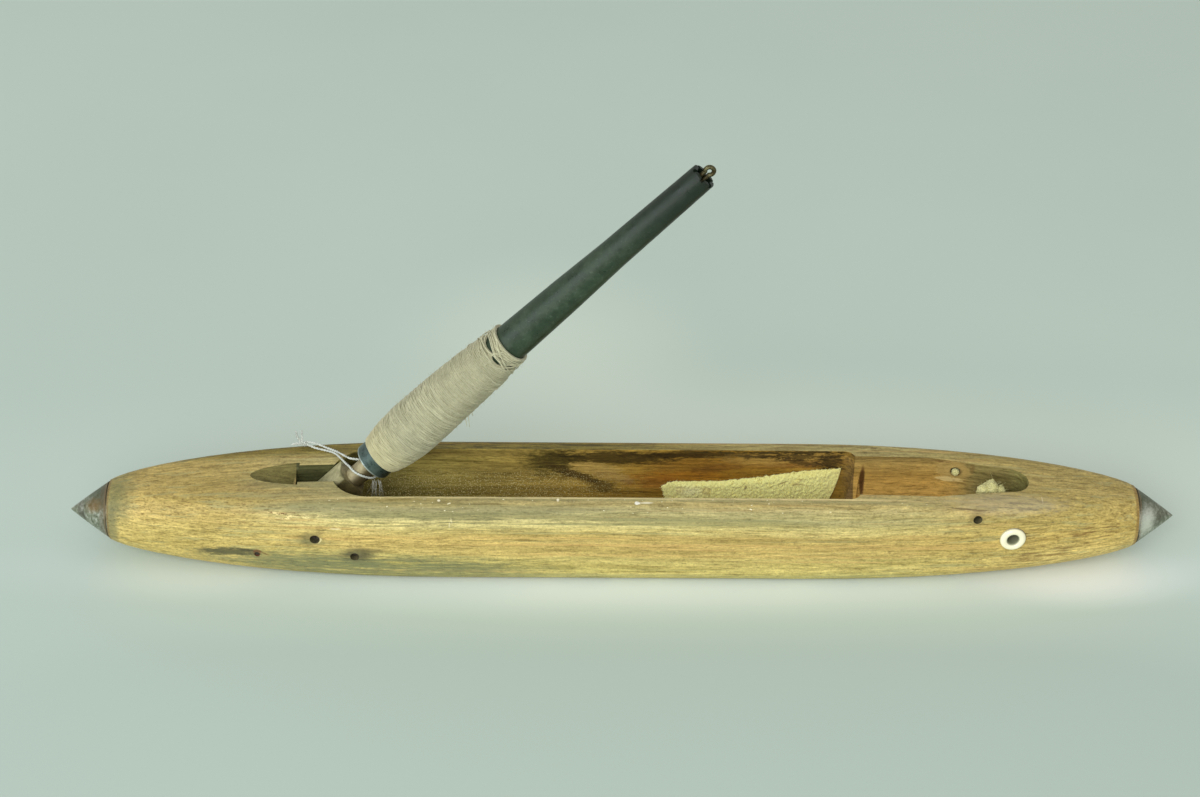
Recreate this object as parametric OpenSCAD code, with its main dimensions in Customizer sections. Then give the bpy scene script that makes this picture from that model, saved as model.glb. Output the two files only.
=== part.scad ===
// Flying shuttle for a loom: a wooden body with steel points, and a hinged spindle
// that lifts out of the well with its wound pirn.
// X runs along the shuttle, Y across it and Z up. The origin is under the middle of the sole.

/* [Body] */
// Length over the two steel points
shuttle_length = 400; // [380:1:430]
// Width of the body at its middle
body_width = 41.5; // [40:0.5:50]
// Height of the body at its middle
body_height = 35; // [33:0.5:40]
// Length over which each end of the body tapers
taper_length = 120; // [100:1:130]
// Radius of the two long top edges at the middle
top_edge_radius = 3.2; // [2:0.1:5]
// Radius of the two long bottom edges at the middle
sole_edge_radius = 7; // [5:0.5:9]

/* [Steel points] */
// Length of the cone that shows
point_length = 13.8; // [10:0.1:18]
// Diameter of the cone at its base
point_diameter = 20.2; // [17:0.1:23]
// Diameter of the tang driven into the wood
tang_diameter = 6; // [4:0.1:8]
// Length of the tang
tang_length = 22; // [14:1:26]

/* [Well and channel] */
// Width of the well between its two side walls
well_width = 28.6; // [26:0.1:31]
// Thickness of the wood left under the well
floor_thickness = 4.5; // [3:0.1:6]
// Radius of the cutter that shaped the well's far end, seen from the side
well_end_radius = 40; // [34:1:50]
// Radius of the well's two far corners, seen from above
well_corner_radius = 4; // [2:0.1:6]
// Width of the thread channel where it leaves the well
channel_width = 23; // [18:0.1:25]
// Height of the channel's lowest line above the sole
channel_floor = 13.4; // [12:0.1:13.6]
// Length of the channel before it narrows
channel_straight = 28; // [20:1:34]
// Diameter of the round pocket behind the thread eye
pocket_diameter = 13.6; // [11:0.1:15]
// Height of the pocket's floor above the sole
pocket_floor = 12; // [9:0.1:14]
// Width of the narrow cross groove in the channel
groove_width = 1.7; // [1:0.1:2.5]
// Depth of the cross groove under the channel's floor
groove_depth = 2.4; // [1.5:0.1:4]
// Diameter of the empty cross hole over the channel
cross_hole_diameter = 3.3; // [2:0.1:4]
// Length of the thumb scoop behind the heel slot
scoop_length = 16.5; // [12:0.5:20]
// Depth of the thumb scoop at the heel slot
scoop_depth = 4; // [2.5:0.1:6]

/* [Spindle] */
// Distance from the left point to the pivot pin
pivot_from_point = 89.5; // [84:0.5:96]
// Height of the pivot pin above the sole
pivot_height = 19.5; // [19:0.1:21]
// Angle of the raised spindle over the sole, as it stands at rest
raise_angle = 46.4; // [20:0.1:80]
// Distance of the spindle's axis under the pivot, square to the axis
axis_drop = 0.8; // [0:0.1:1]
// Diameter of the pivot pin
pivot_pin_diameter = 3.6; // [3:0.1:4.4]
// Length of the heel block from the pivot to its shoulder
heel_length = 18.5; // [17:0.5:21]
// Height of the heel block
heel_height = 11.2; // [10:0.1:12]
// Width of the heel block
heel_width = 9; // [7:0.1:10]
// Diameter of the shank between the heel and the pirn
shank_diameter = 7.4; // [6.8:0.1:8]
// Diameter of the mandrel inside the pirn
mandrel_diameter = 6; // [5.6:0.1:6.4]
// Thickness of the hairpin spring's wire
hairpin_wire = 1.6; // [1.2:0.1:1.8]
// Distance from the pivot to the tip of the hairpin's loop
spindle_reach = 198.9; // [198:0.1:202]

/* [Spring and pins] */
// Diameter of the stop pin under the heel
stop_pin_diameter = 3.2; // [2.4:0.1:3.6]
// Distance from the pivot to the stop pin along the shuttle
stop_pin_offset = 14; // [13:0.1:15]
// Thickness of the leaf spring
leaf_thickness = 0.9; // [0.6:0.1:1.2]
// Width of the leaf spring
leaf_width = 7; // [5:0.1:8]
// Diameter of the nail through the leaf spring's rolled end
nail_diameter = 2; // [1.6:0.1:2.4]
// Distance from the pivot back to the nail
nail_offset = 21; // [19:0.5:24]
// Depth of the pins' outer ends below the face of the wood
pin_recess = 2.5; // [1:0.1:4]

/* [Pirn and yarn] */
// Distance from the pivot to the pirn's foot
pirn_foot = 28.2; // [26:0.1:29.5]
// Length of the pirn
pirn_length = 166; // [158:1:167]
// Diameter of the pirn along its parallel part
pirn_diameter = 13.4; // [13:0.1:14.4]
// Diameter of the pirn at its tip
pirn_tip_diameter = 9.4; // [8.6:0.1:10.4]
// Length of the parallel part
pirn_parallel = 76; // [74:1:100]
// Diameter of the pirn at its waist, where the steep part of its taper ends
pirn_waist_diameter = 10.7; // [10:0.1:12]
// Distance from the pirn's foot to its waist
pirn_waist = 122; // [112:1:135]
// Thickness of the ferrule's sheet metal
ferrule_wall = 0.5; // [0.3:0.1:0.8]
// Length of the ferrule
ferrule_length = 7.2; // [6:0.1:9]
// Distance from the pirn's foot to the start of the yarn
yarn_start = 4.9; // [3:0.1:6]
// Length of the yarn along the pirn
yarn_length = 67.2; // [55:0.1:80]
// Largest diameter of the yarn
yarn_diameter = 19.8; // [18:0.1:21.4]
// Diameter of the yarn at its lower end
yarn_foot_diameter = 16; // [15.8:0.1:17]
// Diameter of one turn of the outer layer
turn_diameter = 0.8; // [0.5:0.05:0.9]
// Turns in the outer layer
turn_count = 24; // [12:1:24]

/* [Eye, fleece and string] */
// Distance from the right point back to the thread eye
eye_from_point = 61; // [58:0.5:66]
// Height of the thread eye above the sole
eye_height = 20.3; // [18:0.1:22]
// Diameter of the eye's rim
eye_rim_diameter = 9.5; // [8:0.1:11]
// Diameter of the hole that the thread runs through
eye_bore_diameter = 4; // [2.5:0.1:4.4]
// Outer diameter of the eye's tube
eye_tube_diameter = 6.4; // [5.6:0.1:7]
// Thickness of the fleece strips along the well
fleece_thickness = 1.6; // [1:0.1:2]
// Length of the fleece strips
fleece_length = 64.5; // [50:0.5:70]
// Height of the fleece at its far end
fleece_height = 23.1; // [20:0.1:25]
// Diameter of the string tied round the shank
string_diameter = 0.9; // [0.7:0.05:1]

/* [Hidden] */
$fn = 64;

// Clearances: a pin in its wood, a turning or sliding fit, and a piece that only lies against another
pin_clearance = 0.02;
running_clearance = 0.05;
sliding_clearance = 0.1;
lay_clearance = 0.1;
past = 1;

// Body
point_radius = point_diameter / 2;
point_x = shuttle_length / 2 - point_length;
neck_length = 0.6;
neck_radius = point_radius - 0.5;
body_end = point_x - neck_length;
axis_z = body_height / 2;
section_points = 32;
end_rings = 14;
taper_power = 0.7;
// Share of the full section that the body has reached at x, from 0 at a point to 1 in the middle
function fullness(x) =
    let (u = max(0, 1 - (point_x - abs(x)) / taper_length)) pow(max(0, 1 - u * u), taper_power);
function half_width(x) = point_radius + (body_width / 2 - point_radius) * fullness(x);
function half_height(x) = point_radius + (body_height / 2 - point_radius) * fullness(x);
function edge_radius(x, full) = point_radius + (full - point_radius) * fullness(x);
function deck_z(x) = axis_z + half_height(x);
function section(x) = [
    for (k = [0 : section_points - 1])
        let (
            turn = (k + 0.5) * 360 / section_points,
            r = edge_radius(x, sin(turn) > 0 ? top_edge_radius : sole_edge_radius),
            reach = r / cos(180 / section_points)
        )
        [x,
            sign(cos(turn)) * (half_width(x) - r) + reach * cos(turn),
            axis_z + sign(sin(turn)) * (half_height(x) - r) + reach * sin(turn)]
];

// Well
pivot_x = pivot_from_point - shuttle_length / 2;
slot_width = heel_width + 1;
slot_end_gap = 2.2;
slot_x = pivot_x - heel_height / 2 - slot_end_gap;
slot_to_well = 5.2;
scoop_radius = 7.3;
scoop_overrun = 0.4;
well_radius = well_width / 2;
well_arc_x = pivot_x + slot_to_well + well_radius;
tip_gap = 0.3;
well_end = pivot_x + pirn_foot + pirn_length + tip_gap;
well_end_straight = 3;
above_deck = body_height + 5;

// Channel
channel_radius = channel_width / 2;
channel_axis_z = channel_floor + channel_radius;
eye_x = shuttle_length / 2 - eye_from_point;
pocket_radius = pocket_diameter / 2;
channel_narrow_x = well_end + channel_straight;
channel_back = 12;
groove_x = well_end + 2.6;
groove_rise = 1.5;
groove_lean = 6;
cross_hole_front_x = eye_x - 13.5;
cross_hole_back_x = eye_x - 18.3;
cross_hole_back_y = 9.6;
cross_hole_rise = 11.8;
cross_hole_back_rise = 12;
cross_hole_front = [cross_hole_front_x, -half_width(cross_hole_front_x), axis_z + cross_hole_rise];
cross_hole_back = [cross_hole_back_x, cross_hole_back_y, axis_z + cross_hole_back_rise];
cross_hole_blind = 6;

// Spindle
heel_radius = heel_height / 2;
seat_depth = 6;
seat_cone = 1.4;
mandrel_end = 62;
fork_depth = 7.5;
hairpin_radius = hairpin_wire / 2;
loop_radius = 1.5;
loop_centre = spindle_reach - loop_radius - hairpin_radius;
leg_root = 1.25;
leg_tip = 0.9;
leg_bow = 0.75;
leg_steps = 12;
loop_steps = 14;

// Spring and pins
stop_gap = 0.1;
leaf_gap = 0.25;
leaf_top = pivot_height - heel_radius - leaf_gap;
stop_pin_z = pivot_height - heel_radius - stop_gap - stop_pin_diameter / 2;
stop_pin_x = pivot_x + stop_pin_offset;
nail_x = pivot_x - nail_offset;
rolled_radius = nail_diameter / 2 + running_clearance + leaf_thickness;
nail_z = leaf_top - rolled_radius;
leaf_end = stop_pin_x - stop_pin_diameter / 2 - 1.6;
mortise_width = leaf_width + 0.8;
stop_pin_blind = 3;
nail_blind = 6;
pivot_pin_blind = 9;
pin_end_gap = 0.3;
rolled_room = 0.5;
mortise_room = 0.4;
leaf_bend = 4;

// Pirn and yarn
pirn_radius = pirn_diameter / 2;
pirn_tip = pirn_foot + pirn_length;
pirn_bore = mandrel_diameter / 2 + sliding_clearance;
seat_bore = shank_diameter / 2 + sliding_clearance;
ferrule_radius = pirn_radius + ferrule_wall;
yarn_foot = pirn_foot + yarn_start;
yarn_top = yarn_foot + yarn_length;
band_length = 2.4;
band_low = max(yarn_foot + band_length, pirn_foot + ferrule_length + 0.8);
yarn_bulge_at = 0.25;
yarn_thinning = 2.6;
yarn_skin = 0.12;
yarn_top_radius = pirn_radius + yarn_skin + turn_diameter;
turn_radius = turn_diameter / 2;
turn_lift = 0.08;
turn_bend = 1.8;
turn_sides = 6;
rings_per_turn = 24;
bend_rings = 5;

// Fleece
fleece_right = well_end - well_corner_radius - 0.5;
fleece_left = fleece_right - fleece_length;

// Wool: the wad rests on the narrowing floor of the channel
tuft_x = eye_x - 7;
tuft_y = 0.6;
tuft_radius = 5;
tuft_half_height = 8.4;
tuft_narrowing = max(0, tuft_x - channel_narrow_x) / (eye_x - channel_narrow_x);
tuft_floor = channel_axis_z - channel_radius + (channel_radius - pocket_radius) * tuft_narrowing;
tuft_gap = 0.27;
plug_length = 5;
plug_radius = 1.5;
plug_proud = 1.2;

// String: points of its route from the knot, round the shank and back to the knot
string_route = [
    [-115.2, 16.5, 35], [-111.8, 14.2, 35], [-107.5, 12.2, 35.3], [-104.6, 9.8, 36],
    [-102.5, 6, 36.9], [-100.2, 2.3, 37.1], [-98.6, -0.2, 37.4], [-97, -2.9, 37.4],
    [-94.2, -4.4, 36.6], [-90.9, -3.4, 34.8], [-89.3, -1.2, 33.9], [-89.3, 1.2, 33.9],
    [-90.9, 3.4, 34.8], [-93.4, 4.5, 36.3], [-96.1, 3.7, 37.8], [-99.3, 4.9, 37.6],
    [-103.8, 9.9, 36.6], [-107.6, 13.1, 35.9], [-112, 16.5, 35.4], [-115.3, 17.7, 35.2]
];
knot_place = [-116.4, 17.1, 34.9];
knot_radius = 1.2;
tail_points = [
    [[-117, 17.6, 35.4], [-117.1, 18.3, 36.6], [-117.2, 18.8, 38], [-117.1, 19, 39.4]],
    [[-117.4, 17.4, 35.4], [-118.4, 18, 36.5], [-119.1, 18.5, 37.8], [-119.2, 18.6, 39.2]],
    [[-117.6, 17, 35], [-119.2, 17, 34.9], [-120.8, 16.8, 34.6]]
];
string_sides = 8;

// Direction helpers
function unit(v) = v / norm(v);

// A tube of the given radius along points, each with its own pair of cross directions
module swept_tube(points, across, upward, radius, sides) {
    last = len(points) - 1;
    rings = [
        for (i = [0 : last], k = [0 : sides - 1])
            points[i] + radius * (cos(360 * k / sides) * across[i] + sin(360 * k / sides) * upward[i])
    ];
    walls = [
        for (i = [0 : last - 1], k = [0 : sides - 1])
            let (a = i * sides + k, b = i * sides + (k + 1) % sides)
            each [[a, b + sides, b], [a, a + sides, b + sides]]
    ];
    caps = [
        for (k = [1 : sides - 2])
            each [[0, k, k + 1], [last * sides, last * sides + k + 1, last * sides + k]]
    ];
    polyhedron(points = rings, faces = concat(walls, caps), convexity = 8);
}

// A tube along free points, whose cross directions are kept square to one reference direction
module cord_tube(points, radius, sides, reference) {
    last = len(points) - 1;
    along = [for (i = [0 : last]) unit(points[min(last, i + 1)] - points[max(0, i - 1)])];
    across = [for (i = [0 : last]) unit(cross(reference, along[i]))];
    upward = [for (i = [0 : last]) cross(along[i], across[i])];
    swept_tube(points, across, upward, radius, sides);
}

// The route's points with one more between each two, on a smooth curve through them
function smooth_route(p) =
    let (last = len(p) - 1)
    [
        for (i = [0 : last])
            each i == last ? [p[i]] : [
                p[i],
                (9 * (p[i] + p[i + 1]) - p[max(0, i - 1)] - p[min(last, i + 2)]) / 16
            ]
    ];

// The spindle's own frame: X from the pivot towards the tip
module on_spindle() {
    translate([pivot_x, 0, pivot_height])
        rotate([0, -raise_angle, 0])
            children();
}

// The same frame with X on the axis of the shank, the mandrel and the pirn
module on_axis() {
    on_spindle()
        translate([0, 0, -axis_drop])
            children();
}

// A turned piece on the spindle: profile points are distance from the pivot and radius
module turned(profile) {
    rotate([0, 90, 0])
        rotate_extrude()
            polygon([for (p = profile) [p[1], p[0]]]);
}

// A round pin or hole across the shuttle, from y0 to y1
module cross_pin(x, z, d, y0, y1) {
    translate([x, y1, z])
        rotate([90, 0, 0])
            cylinder(d = d, h = y1 - y0);
}

// The plain outside of the body, lofted from one section to the next
module body_blank() {
    taper = [for (i = [0 : end_rings]) point_x - taper_length * (1 - cos(90 * i / end_rings))];
    right = [for (x = taper) min(x, body_end)];
    stations = concat([for (x = right) -x], [for (i = [0 : end_rings]) right[end_rings - i]]);
    last = len(stations) - 1;
    n = section_points;
    skin = [
        for (i = [0 : last - 1], k = [0 : n - 1])
            let (a = i * n + k, b = i * n + (k + 1) % n)
            each [[a, a + n, b + n], [a, b + n, b]]
    ];
    ends = [[for (k = [0 : n - 1]) k], [for (k = [0 : n - 1]) last * n + n - 1 - k]];
    polyhedron(
        points = [for (x = stations) each section(x)],
        faces = concat(skin, ends),
        convexity = 4
    );
}

// The well from above: a round near end and two rounded far corners
module well_plan() {
    translate([well_arc_x, 0])
        circle(r = well_radius);
    translate([well_arc_x, -well_radius])
        square([well_end - well_corner_radius - well_arc_x, well_width]);
    translate([well_end - 2 * well_corner_radius, well_corner_radius - well_radius])
        square([2 * well_corner_radius, well_width - 2 * well_corner_radius]);
    for (side = [-1, 1])
        translate([well_end - well_corner_radius, side * (well_radius - well_corner_radius)])
            circle(r = well_corner_radius);
}

// The well from the side: a flat floor that sweeps up to the far end
module well_side() {
    sweep_x = well_end - well_end_radius;
    sweep_z = body_height - well_end_straight;
    low_x = sweep_x + sqrt(pow(well_end_radius, 2) - pow(sweep_z - floor_thickness, 2));
    start = pivot_x - well_width;
    translate([start, floor_thickness])
        square([low_x - start, above_deck - floor_thickness]);
    intersection() {
        translate([sweep_x, sweep_z])
            circle(r = well_end_radius, $fn = 160);
        translate([sweep_x, floor_thickness])
            square([well_end_radius + past, sweep_z - floor_thickness]);
    }
    translate([low_x - past, sweep_z])
        square([well_end - low_x + past, above_deck - sweep_z]);
}

module well_cut() {
    intersection() {
        linear_extrude(height = above_deck)
            well_plan();
        translate([0, body_width / 2, 0])
            rotate([90, 0, 0])
                linear_extrude(height = body_width)
                    well_side();
    }
}

// The slot that the heel turns in, and the scoop that lets a thumb in behind it
module heel_cut() {
    translate([slot_x, -slot_width / 2, floor_thickness])
        cube([well_arc_x - slot_x, slot_width, above_deck]);
    scoop_x = slot_x - scoop_length;
    low_z = deck_z(slot_x) - scoop_depth;
    fall = atan((deck_z(scoop_x) - low_z) / scoop_length);
    translate([slot_x + scoop_overrun, 0, low_z])
        rotate([0, fall, 0])
            translate([-2 * scoop_length, 0, scoop_radius])
                rotate([0, 90, 0])
                    cylinder(r = scoop_radius, h = 2 * scoop_length);
}

// The thread channel: a round-bottomed trough that narrows to the pocket behind the eye
module channel_cut() {
    narrow_length = eye_x - channel_narrow_x;
    back_x = well_end - channel_back;
    translate([back_x, 0, channel_axis_z])
        rotate([0, 90, 0])
            cylinder(r = channel_radius, h = channel_narrow_x - back_x);
    translate([channel_narrow_x, 0, channel_axis_z])
        rotate([0, 90, 0])
            cylinder(r1 = channel_radius, r2 = pocket_radius, h = narrow_length);
    translate([0, 0, channel_axis_z])
        linear_extrude(height = above_deck)
            polygon([
                [back_x, -channel_radius], [channel_narrow_x, -channel_radius],
                [eye_x, -pocket_radius], [eye_x, pocket_radius],
                [channel_narrow_x, channel_radius], [back_x, channel_radius]
            ]);
    translate([eye_x, 0, pocket_floor])
        cylinder(r = pocket_radius, h = above_deck);
}

module groove_cut() {
    translate([groove_x, 0, channel_axis_z - groove_rise])
        rotate([0, 90 + groove_lean, 0])
            cylinder(r = channel_radius + groove_depth - groove_rise, h = groove_width, center = true);
}

// The empty cross hole, drilled on a slant through the front wall into the back one
module cross_hole_cut() {
    way = unit(cross_hole_back - cross_hole_front);
    reach = norm(cross_hole_back - cross_hole_front) + cross_hole_blind;
    translate(cross_hole_front - 2 * way)
        rotate([0, acos(way[2]), atan2(way[1], way[0])])
            cylinder(d = cross_hole_diameter, h = reach + 2);
}

// The eye's own frame: Z out of the front face, square to the taper there
eye_slope = atan(half_width(eye_x + 0.5) - half_width(eye_x - 0.5));
eye_sink = 0.4;
eye_length = half_width(eye_x) - pocket_radius - eye_sink;
module at_eye() {
    translate([eye_x, -half_width(eye_x), eye_height])
        rotate([90, 0, -eye_slope])
            children();
}

module shuttle_body() {
    color("burlywood")
        difference() {
            body_blank();
            well_cut();
            heel_cut();
            channel_cut();
            groove_cut();
            cross_hole_cut();
            cross_pin(pivot_x, pivot_height, pivot_pin_diameter + 2 * pin_clearance,
                -body_width, slot_width / 2 + pivot_pin_blind);
            cross_pin(stop_pin_x, stop_pin_z, stop_pin_diameter + 2 * pin_clearance,
                -body_width, well_radius + stop_pin_blind);
            cross_pin(nail_x, nail_z, nail_diameter + 2 * pin_clearance,
                -body_width, mortise_width / 2 + nail_blind);
            translate([
                nail_x - rolled_radius - rolled_room, -mortise_width / 2,
                nail_z - rolled_radius - mortise_room
            ])
                cube([
                    slot_x - nail_x + rolled_radius + past, mortise_width,
                    2 * (rolled_radius + mortise_room)
                ]);
            at_eye() {
                translate([0, 0, -eye_sink])
                    cylinder(d = eye_rim_diameter + 2 * pin_clearance, h = 3);
                translate([0, 0, -body_width / 2])
                    cylinder(d = eye_tube_diameter + 2 * pin_clearance, h = body_width / 2);
            }
            for (side = [-1, 1])
                translate([side * (body_end + past), 0, axis_z])
                    rotate([0, -side * 90, 0])
                        cylinder(d = tang_diameter + 2 * pin_clearance, h = tang_length + past + 0.5);
        }
}

// A steel point: cone, narrow neck against the wood, and the tang inside it
module steel_point(side) {
    flank_steps = 8;
    flank_power = 0.94;
    nose = 0.03;
    tang_taper = 0.8;
    tang_lead = 3;
    color("slategray")
        translate([0, 0, axis_z])
            rotate([0, side * 90, 0])
                rotate_extrude()
                    polygon(concat(
                        [[0, body_end - tang_length],
                            [tang_diameter / 2 - tang_taper, body_end - tang_length],
                            [tang_diameter / 2, body_end - tang_length + tang_lead],
                            [tang_diameter / 2, body_end],
                            [neck_radius, body_end], [neck_radius, point_x]],
                        [for (i = [0 : flank_steps])
                            let (t = i / flank_steps * (1 - nose))
                            [point_radius * pow(1 - t, flank_power), point_x + point_length * t]],
                        [[0, point_x + point_length]]
                    ));
}

module point_left() {
    steel_point(-1);
}

module point_right() {
    steel_point(1);
}

module pivot_pin() {
    color("dimgray")
        cross_pin(pivot_x, pivot_height, pivot_pin_diameter,
            pin_recess - half_width(pivot_x), slot_width / 2 + pivot_pin_blind - pin_end_gap);
}

module stop_pin() {
    color("dimgray")
        cross_pin(stop_pin_x, stop_pin_z, stop_pin_diameter,
            pin_recess - half_width(stop_pin_x), well_radius + stop_pin_blind - pin_end_gap);
}

// A flat steel leaf whose end is rolled round the nail
module leaf_spring() {
    tip_drop = 1.2;
    color("darkslategray")
        difference() {
            union() {
                cross_pin(nail_x, nail_z, 2 * rolled_radius, -leaf_width / 2, leaf_width / 2);
                translate([0, leaf_width / 2, 0])
                    rotate([90, 0, 0])
                        linear_extrude(height = leaf_width)
                            polygon([
                                [nail_x, leaf_top], [leaf_end - leaf_bend, leaf_top],
                                [leaf_end, leaf_top - tip_drop],
                                [leaf_end - 0.4, leaf_top - leaf_thickness - tip_drop],
                                [leaf_end - leaf_bend - 0.2, leaf_top - leaf_thickness],
                                [nail_x, leaf_top - leaf_thickness]
                            ]);
            }
            cross_pin(nail_x, nail_z, nail_diameter + 2 * running_clearance, -leaf_width, leaf_width);
        }
}

module spring_nail() {
    sunk = 0.8;
    color("saddlebrown")
        cross_pin(nail_x, nail_z, nail_diameter,
            sunk - half_width(nail_x), mortise_width / 2 + nail_blind - pin_end_gap);
}

// The forged heel: a flat block round the pivot, a turned shank and the forked mandrel
module spindle_heel() {
    shoulder = 1.6;
    seat = pirn_foot + seat_depth;
    color("sienna")
        on_spindle()
            difference() {
                union() {
                    intersection() {
                        translate([0, heel_width / 2, 0])
                            rotate([90, 0, 0])
                                linear_extrude(height = heel_width) {
                                    circle(r = heel_radius);
                                    translate([0, -heel_radius])
                                        square([heel_length, heel_height]);
                                }
                        turned([
                            [-heel_height, 0], [-heel_height, heel_height],
                            [heel_length - shoulder, heel_height],
                            [heel_length, heel_radius - 0.6], [heel_length, 0]
                        ]);
                    }
                    translate([0, 0, -axis_drop])
                        turned([
                            [heel_length - past, 0], [heel_length - past, shank_diameter / 2],
                            [seat, shank_diameter / 2], [seat + seat_cone, mandrel_diameter / 2],
                            [mandrel_end - 1, mandrel_diameter / 2],
                            [mandrel_end, mandrel_diameter / 2 - 0.6], [mandrel_end, 0]
                        ]);
                }
                cross_pin(0, 0, pivot_pin_diameter + 2 * running_clearance, -heel_width, heel_width);
                translate([
                    mandrel_end - fork_depth, -hairpin_radius - pin_clearance,
                    -axis_drop - leg_root - hairpin_radius - pin_clearance
                ])
                    cube([
                        fork_depth + past, hairpin_wire + 2 * pin_clearance,
                        2 * (leg_root + hairpin_radius + pin_clearance)
                    ]);
            }
}

// A spring wire bent double: two bowed legs in the mandrel's fork and a closed loop at the tip
module spindle_hairpin() {
    meet = acos(leg_tip / loop_radius);
    loop_entry = loop_centre - loop_radius * sin(meet);
    leg_start = mandrel_end - fork_depth + lay_clearance;
    leg_z = function (t) leg_root + (leg_tip - leg_root) * t + leg_bow * sin(180 * t);
    leg = concat(
        [[leg_start, 0, leg_root]],
        [for (i = [0 : leg_steps])
            let (t = i / leg_steps)
            [mandrel_end + (loop_entry - 0.6 - mandrel_end) * t, 0, leg_z(t)]]
    );
    loop = [
        for (i = [0 : loop_steps])
            let (turn = 90 + meet - (180 + 2 * meet) * i / loop_steps)
            [loop_centre + loop_radius * cos(turn), 0, loop_radius * sin(turn)]
    ];
    back = [for (i = [len(leg) - 1 : -1 : 0]) [leg[i][0], 0, -leg[i][2]]];
    color("darkolivegreen")
        on_axis()
            cord_tube(concat(leg, loop, back), hairpin_radius, string_sides, [0, 1, 0]);
}

// A turned tube: straight, then tapering in two stages to a tip that use has nicked
module pirn_tube() {
    taper_start = pirn_foot + pirn_parallel;
    seat = pirn_foot + seat_depth + sliding_clearance;
    start = pirn_foot + ferrule_wall;
    waist = pirn_foot + pirn_waist;
    waist_radius = pirn_waist_diameter / 2;
    taper_swell = 0.15;
    lip = 0.3;
    nick_turns = [20, 75, 128, 190, 247, 312];
    nick_width = 1.3;
    nick_depth = 0.9;
    color("darkslategray")
        on_axis()
            difference() {
                turned([
                    [start, seat_bore], [start, pirn_radius - pin_clearance],
                    [pirn_foot + ferrule_length, pirn_radius - pin_clearance],
                    [pirn_foot + ferrule_length, pirn_radius], [taper_start, pirn_radius],
                    [(taper_start + waist) / 2, (pirn_radius + waist_radius) / 2 + taper_swell],
                    [waist, waist_radius],
                    [pirn_tip - lip, pirn_tip_diameter / 2], [pirn_tip, pirn_tip_diameter / 2 - lip],
                    [pirn_tip, pirn_bore], [seat + seat_cone, pirn_bore], [seat, seat_bore]
                ]);
                for (turn = nick_turns)
                    rotate([turn, 0, 0])
                        translate([pirn_tip - nick_depth, -nick_width / 2, pirn_bore - past])
                            cube([nick_depth + past, nick_width, pirn_tip_diameter]);
            }
}

// A pressed metal cup over the pirn's foot
module pirn_ferrule() {
    color("lightslategray")
        on_axis()
            turned([
                [pirn_foot, seat_bore], [pirn_foot, ferrule_radius - 0.3], [pirn_foot + 0.3, ferrule_radius],
                [pirn_foot + ferrule_length, ferrule_radius], [pirn_foot + ferrule_length, pirn_radius],
                [pirn_foot + ferrule_wall, pirn_radius], [pirn_foot + ferrule_wall, seat_bore]
            ]);
}

// Outer radius of the yarn at a distance from the pivot: it swells from the foot, then thins out
function yarn_radius(s) =
    let (t = min(1, max(0, (s - yarn_foot) / yarn_length)))
    t < yarn_bulge_at
        ? yarn_foot_diameter / 2 + (yarn_diameter - yarn_foot_diameter) / 2 * sin(90 * t / yarn_bulge_at)
        : yarn_top_radius + (yarn_diameter / 2 - yarn_top_radius)
            * (1 - pow((t - yarn_bulge_at) / (1 - yarn_bulge_at), yarn_thinning));
function core_radius(s) = yarn_radius(s) - turn_diameter - turn_lift;

// The packed yarn under the outer layer, with a full band at each end for the turns to start from
module yarn_core() {
    steps = 20;
    low = band_low;
    high = yarn_top - band_length;
    color("wheat")
        on_axis()
            turned(concat(
                [[yarn_foot, ferrule_radius + lay_clearance], [yarn_foot, yarn_radius(yarn_foot) - 0.7],
                    [yarn_foot + 0.9, yarn_radius(yarn_foot)], [low, yarn_radius(low)]],
                [for (i = [0 : steps])
                    let (s = low + (high - low) * i / steps)
                    [s, core_radius(s)]],
                [[high, yarn_radius(high)], [yarn_top - 0.4, yarn_radius(yarn_top)],
                    [yarn_top, yarn_radius(yarn_top) - 0.4], [yarn_top, pirn_radius + 0.03],
                    [pirn_foot + ferrule_length + lay_clearance, pirn_radius + 0.03],
                    [pirn_foot + ferrule_length + lay_clearance, ferrule_radius + lay_clearance]]
            ));
}

// The outer layer's path on the unrolled yarn: distance along the spindle and angle round it.
// Each end leaves its band squarely, bends round a quarter circle and joins the winding.
turns_low = band_low + turn_diameter + turn_bend;
turns_high = yarn_top - band_length - turn_diameter - turn_bend;
function bend_angle(t, s) = turn_bend * (1 - cos(90 * t)) / yarn_radius(s) * 180 / PI;
function end_bend(low, way) = [
    for (i = [0 : bend_rings])
        let (t = i / bend_rings, s = low - way * turn_bend * (1 - sin(90 * t)))
        [s, bend_angle(t, low)]
];
start_turn = end_bend(turns_low, 1);
end_turn = end_bend(turns_high, -1);
wound = turn_count - 1;
winding = [
    for (i = [1 : rings_per_turn * wound - 1])
        let (t = i / (rings_per_turn * wound))
        [turns_low + (turns_high - turns_low) * t, bend_angle(1, turns_low) + 360 * wound * t]
];
full_angle = bend_angle(1, turns_low) + 360 * wound + bend_angle(1, turns_high);
turn_path = concat(
    [[band_low + 0.02, 0]],
    start_turn,
    winding,
    [for (i = [bend_rings : -1 : 0]) [end_turn[i][0], full_angle - end_turn[i][1]]],
    [[yarn_top - band_length - 0.02, full_angle]]
);
function turn_point(p, r) = [p[0], r * cos(p[1]), r * sin(p[1])];
turn_points = [for (p = turn_path) turn_point(p, core_radius(p[0]) + turn_radius + turn_lift)];

// Least distance between the surfaces of two stretches of the outer layer that aren't neighbours
near_rings = 12;
turn_gap = min([
    for (i = [0 : 3 : len(turn_points) - 1], j = [i + near_rings : min(i + 40, len(turn_points) - 1)])
        norm(turn_points[i] - turn_points[j])
]) - turn_diameter;

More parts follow.
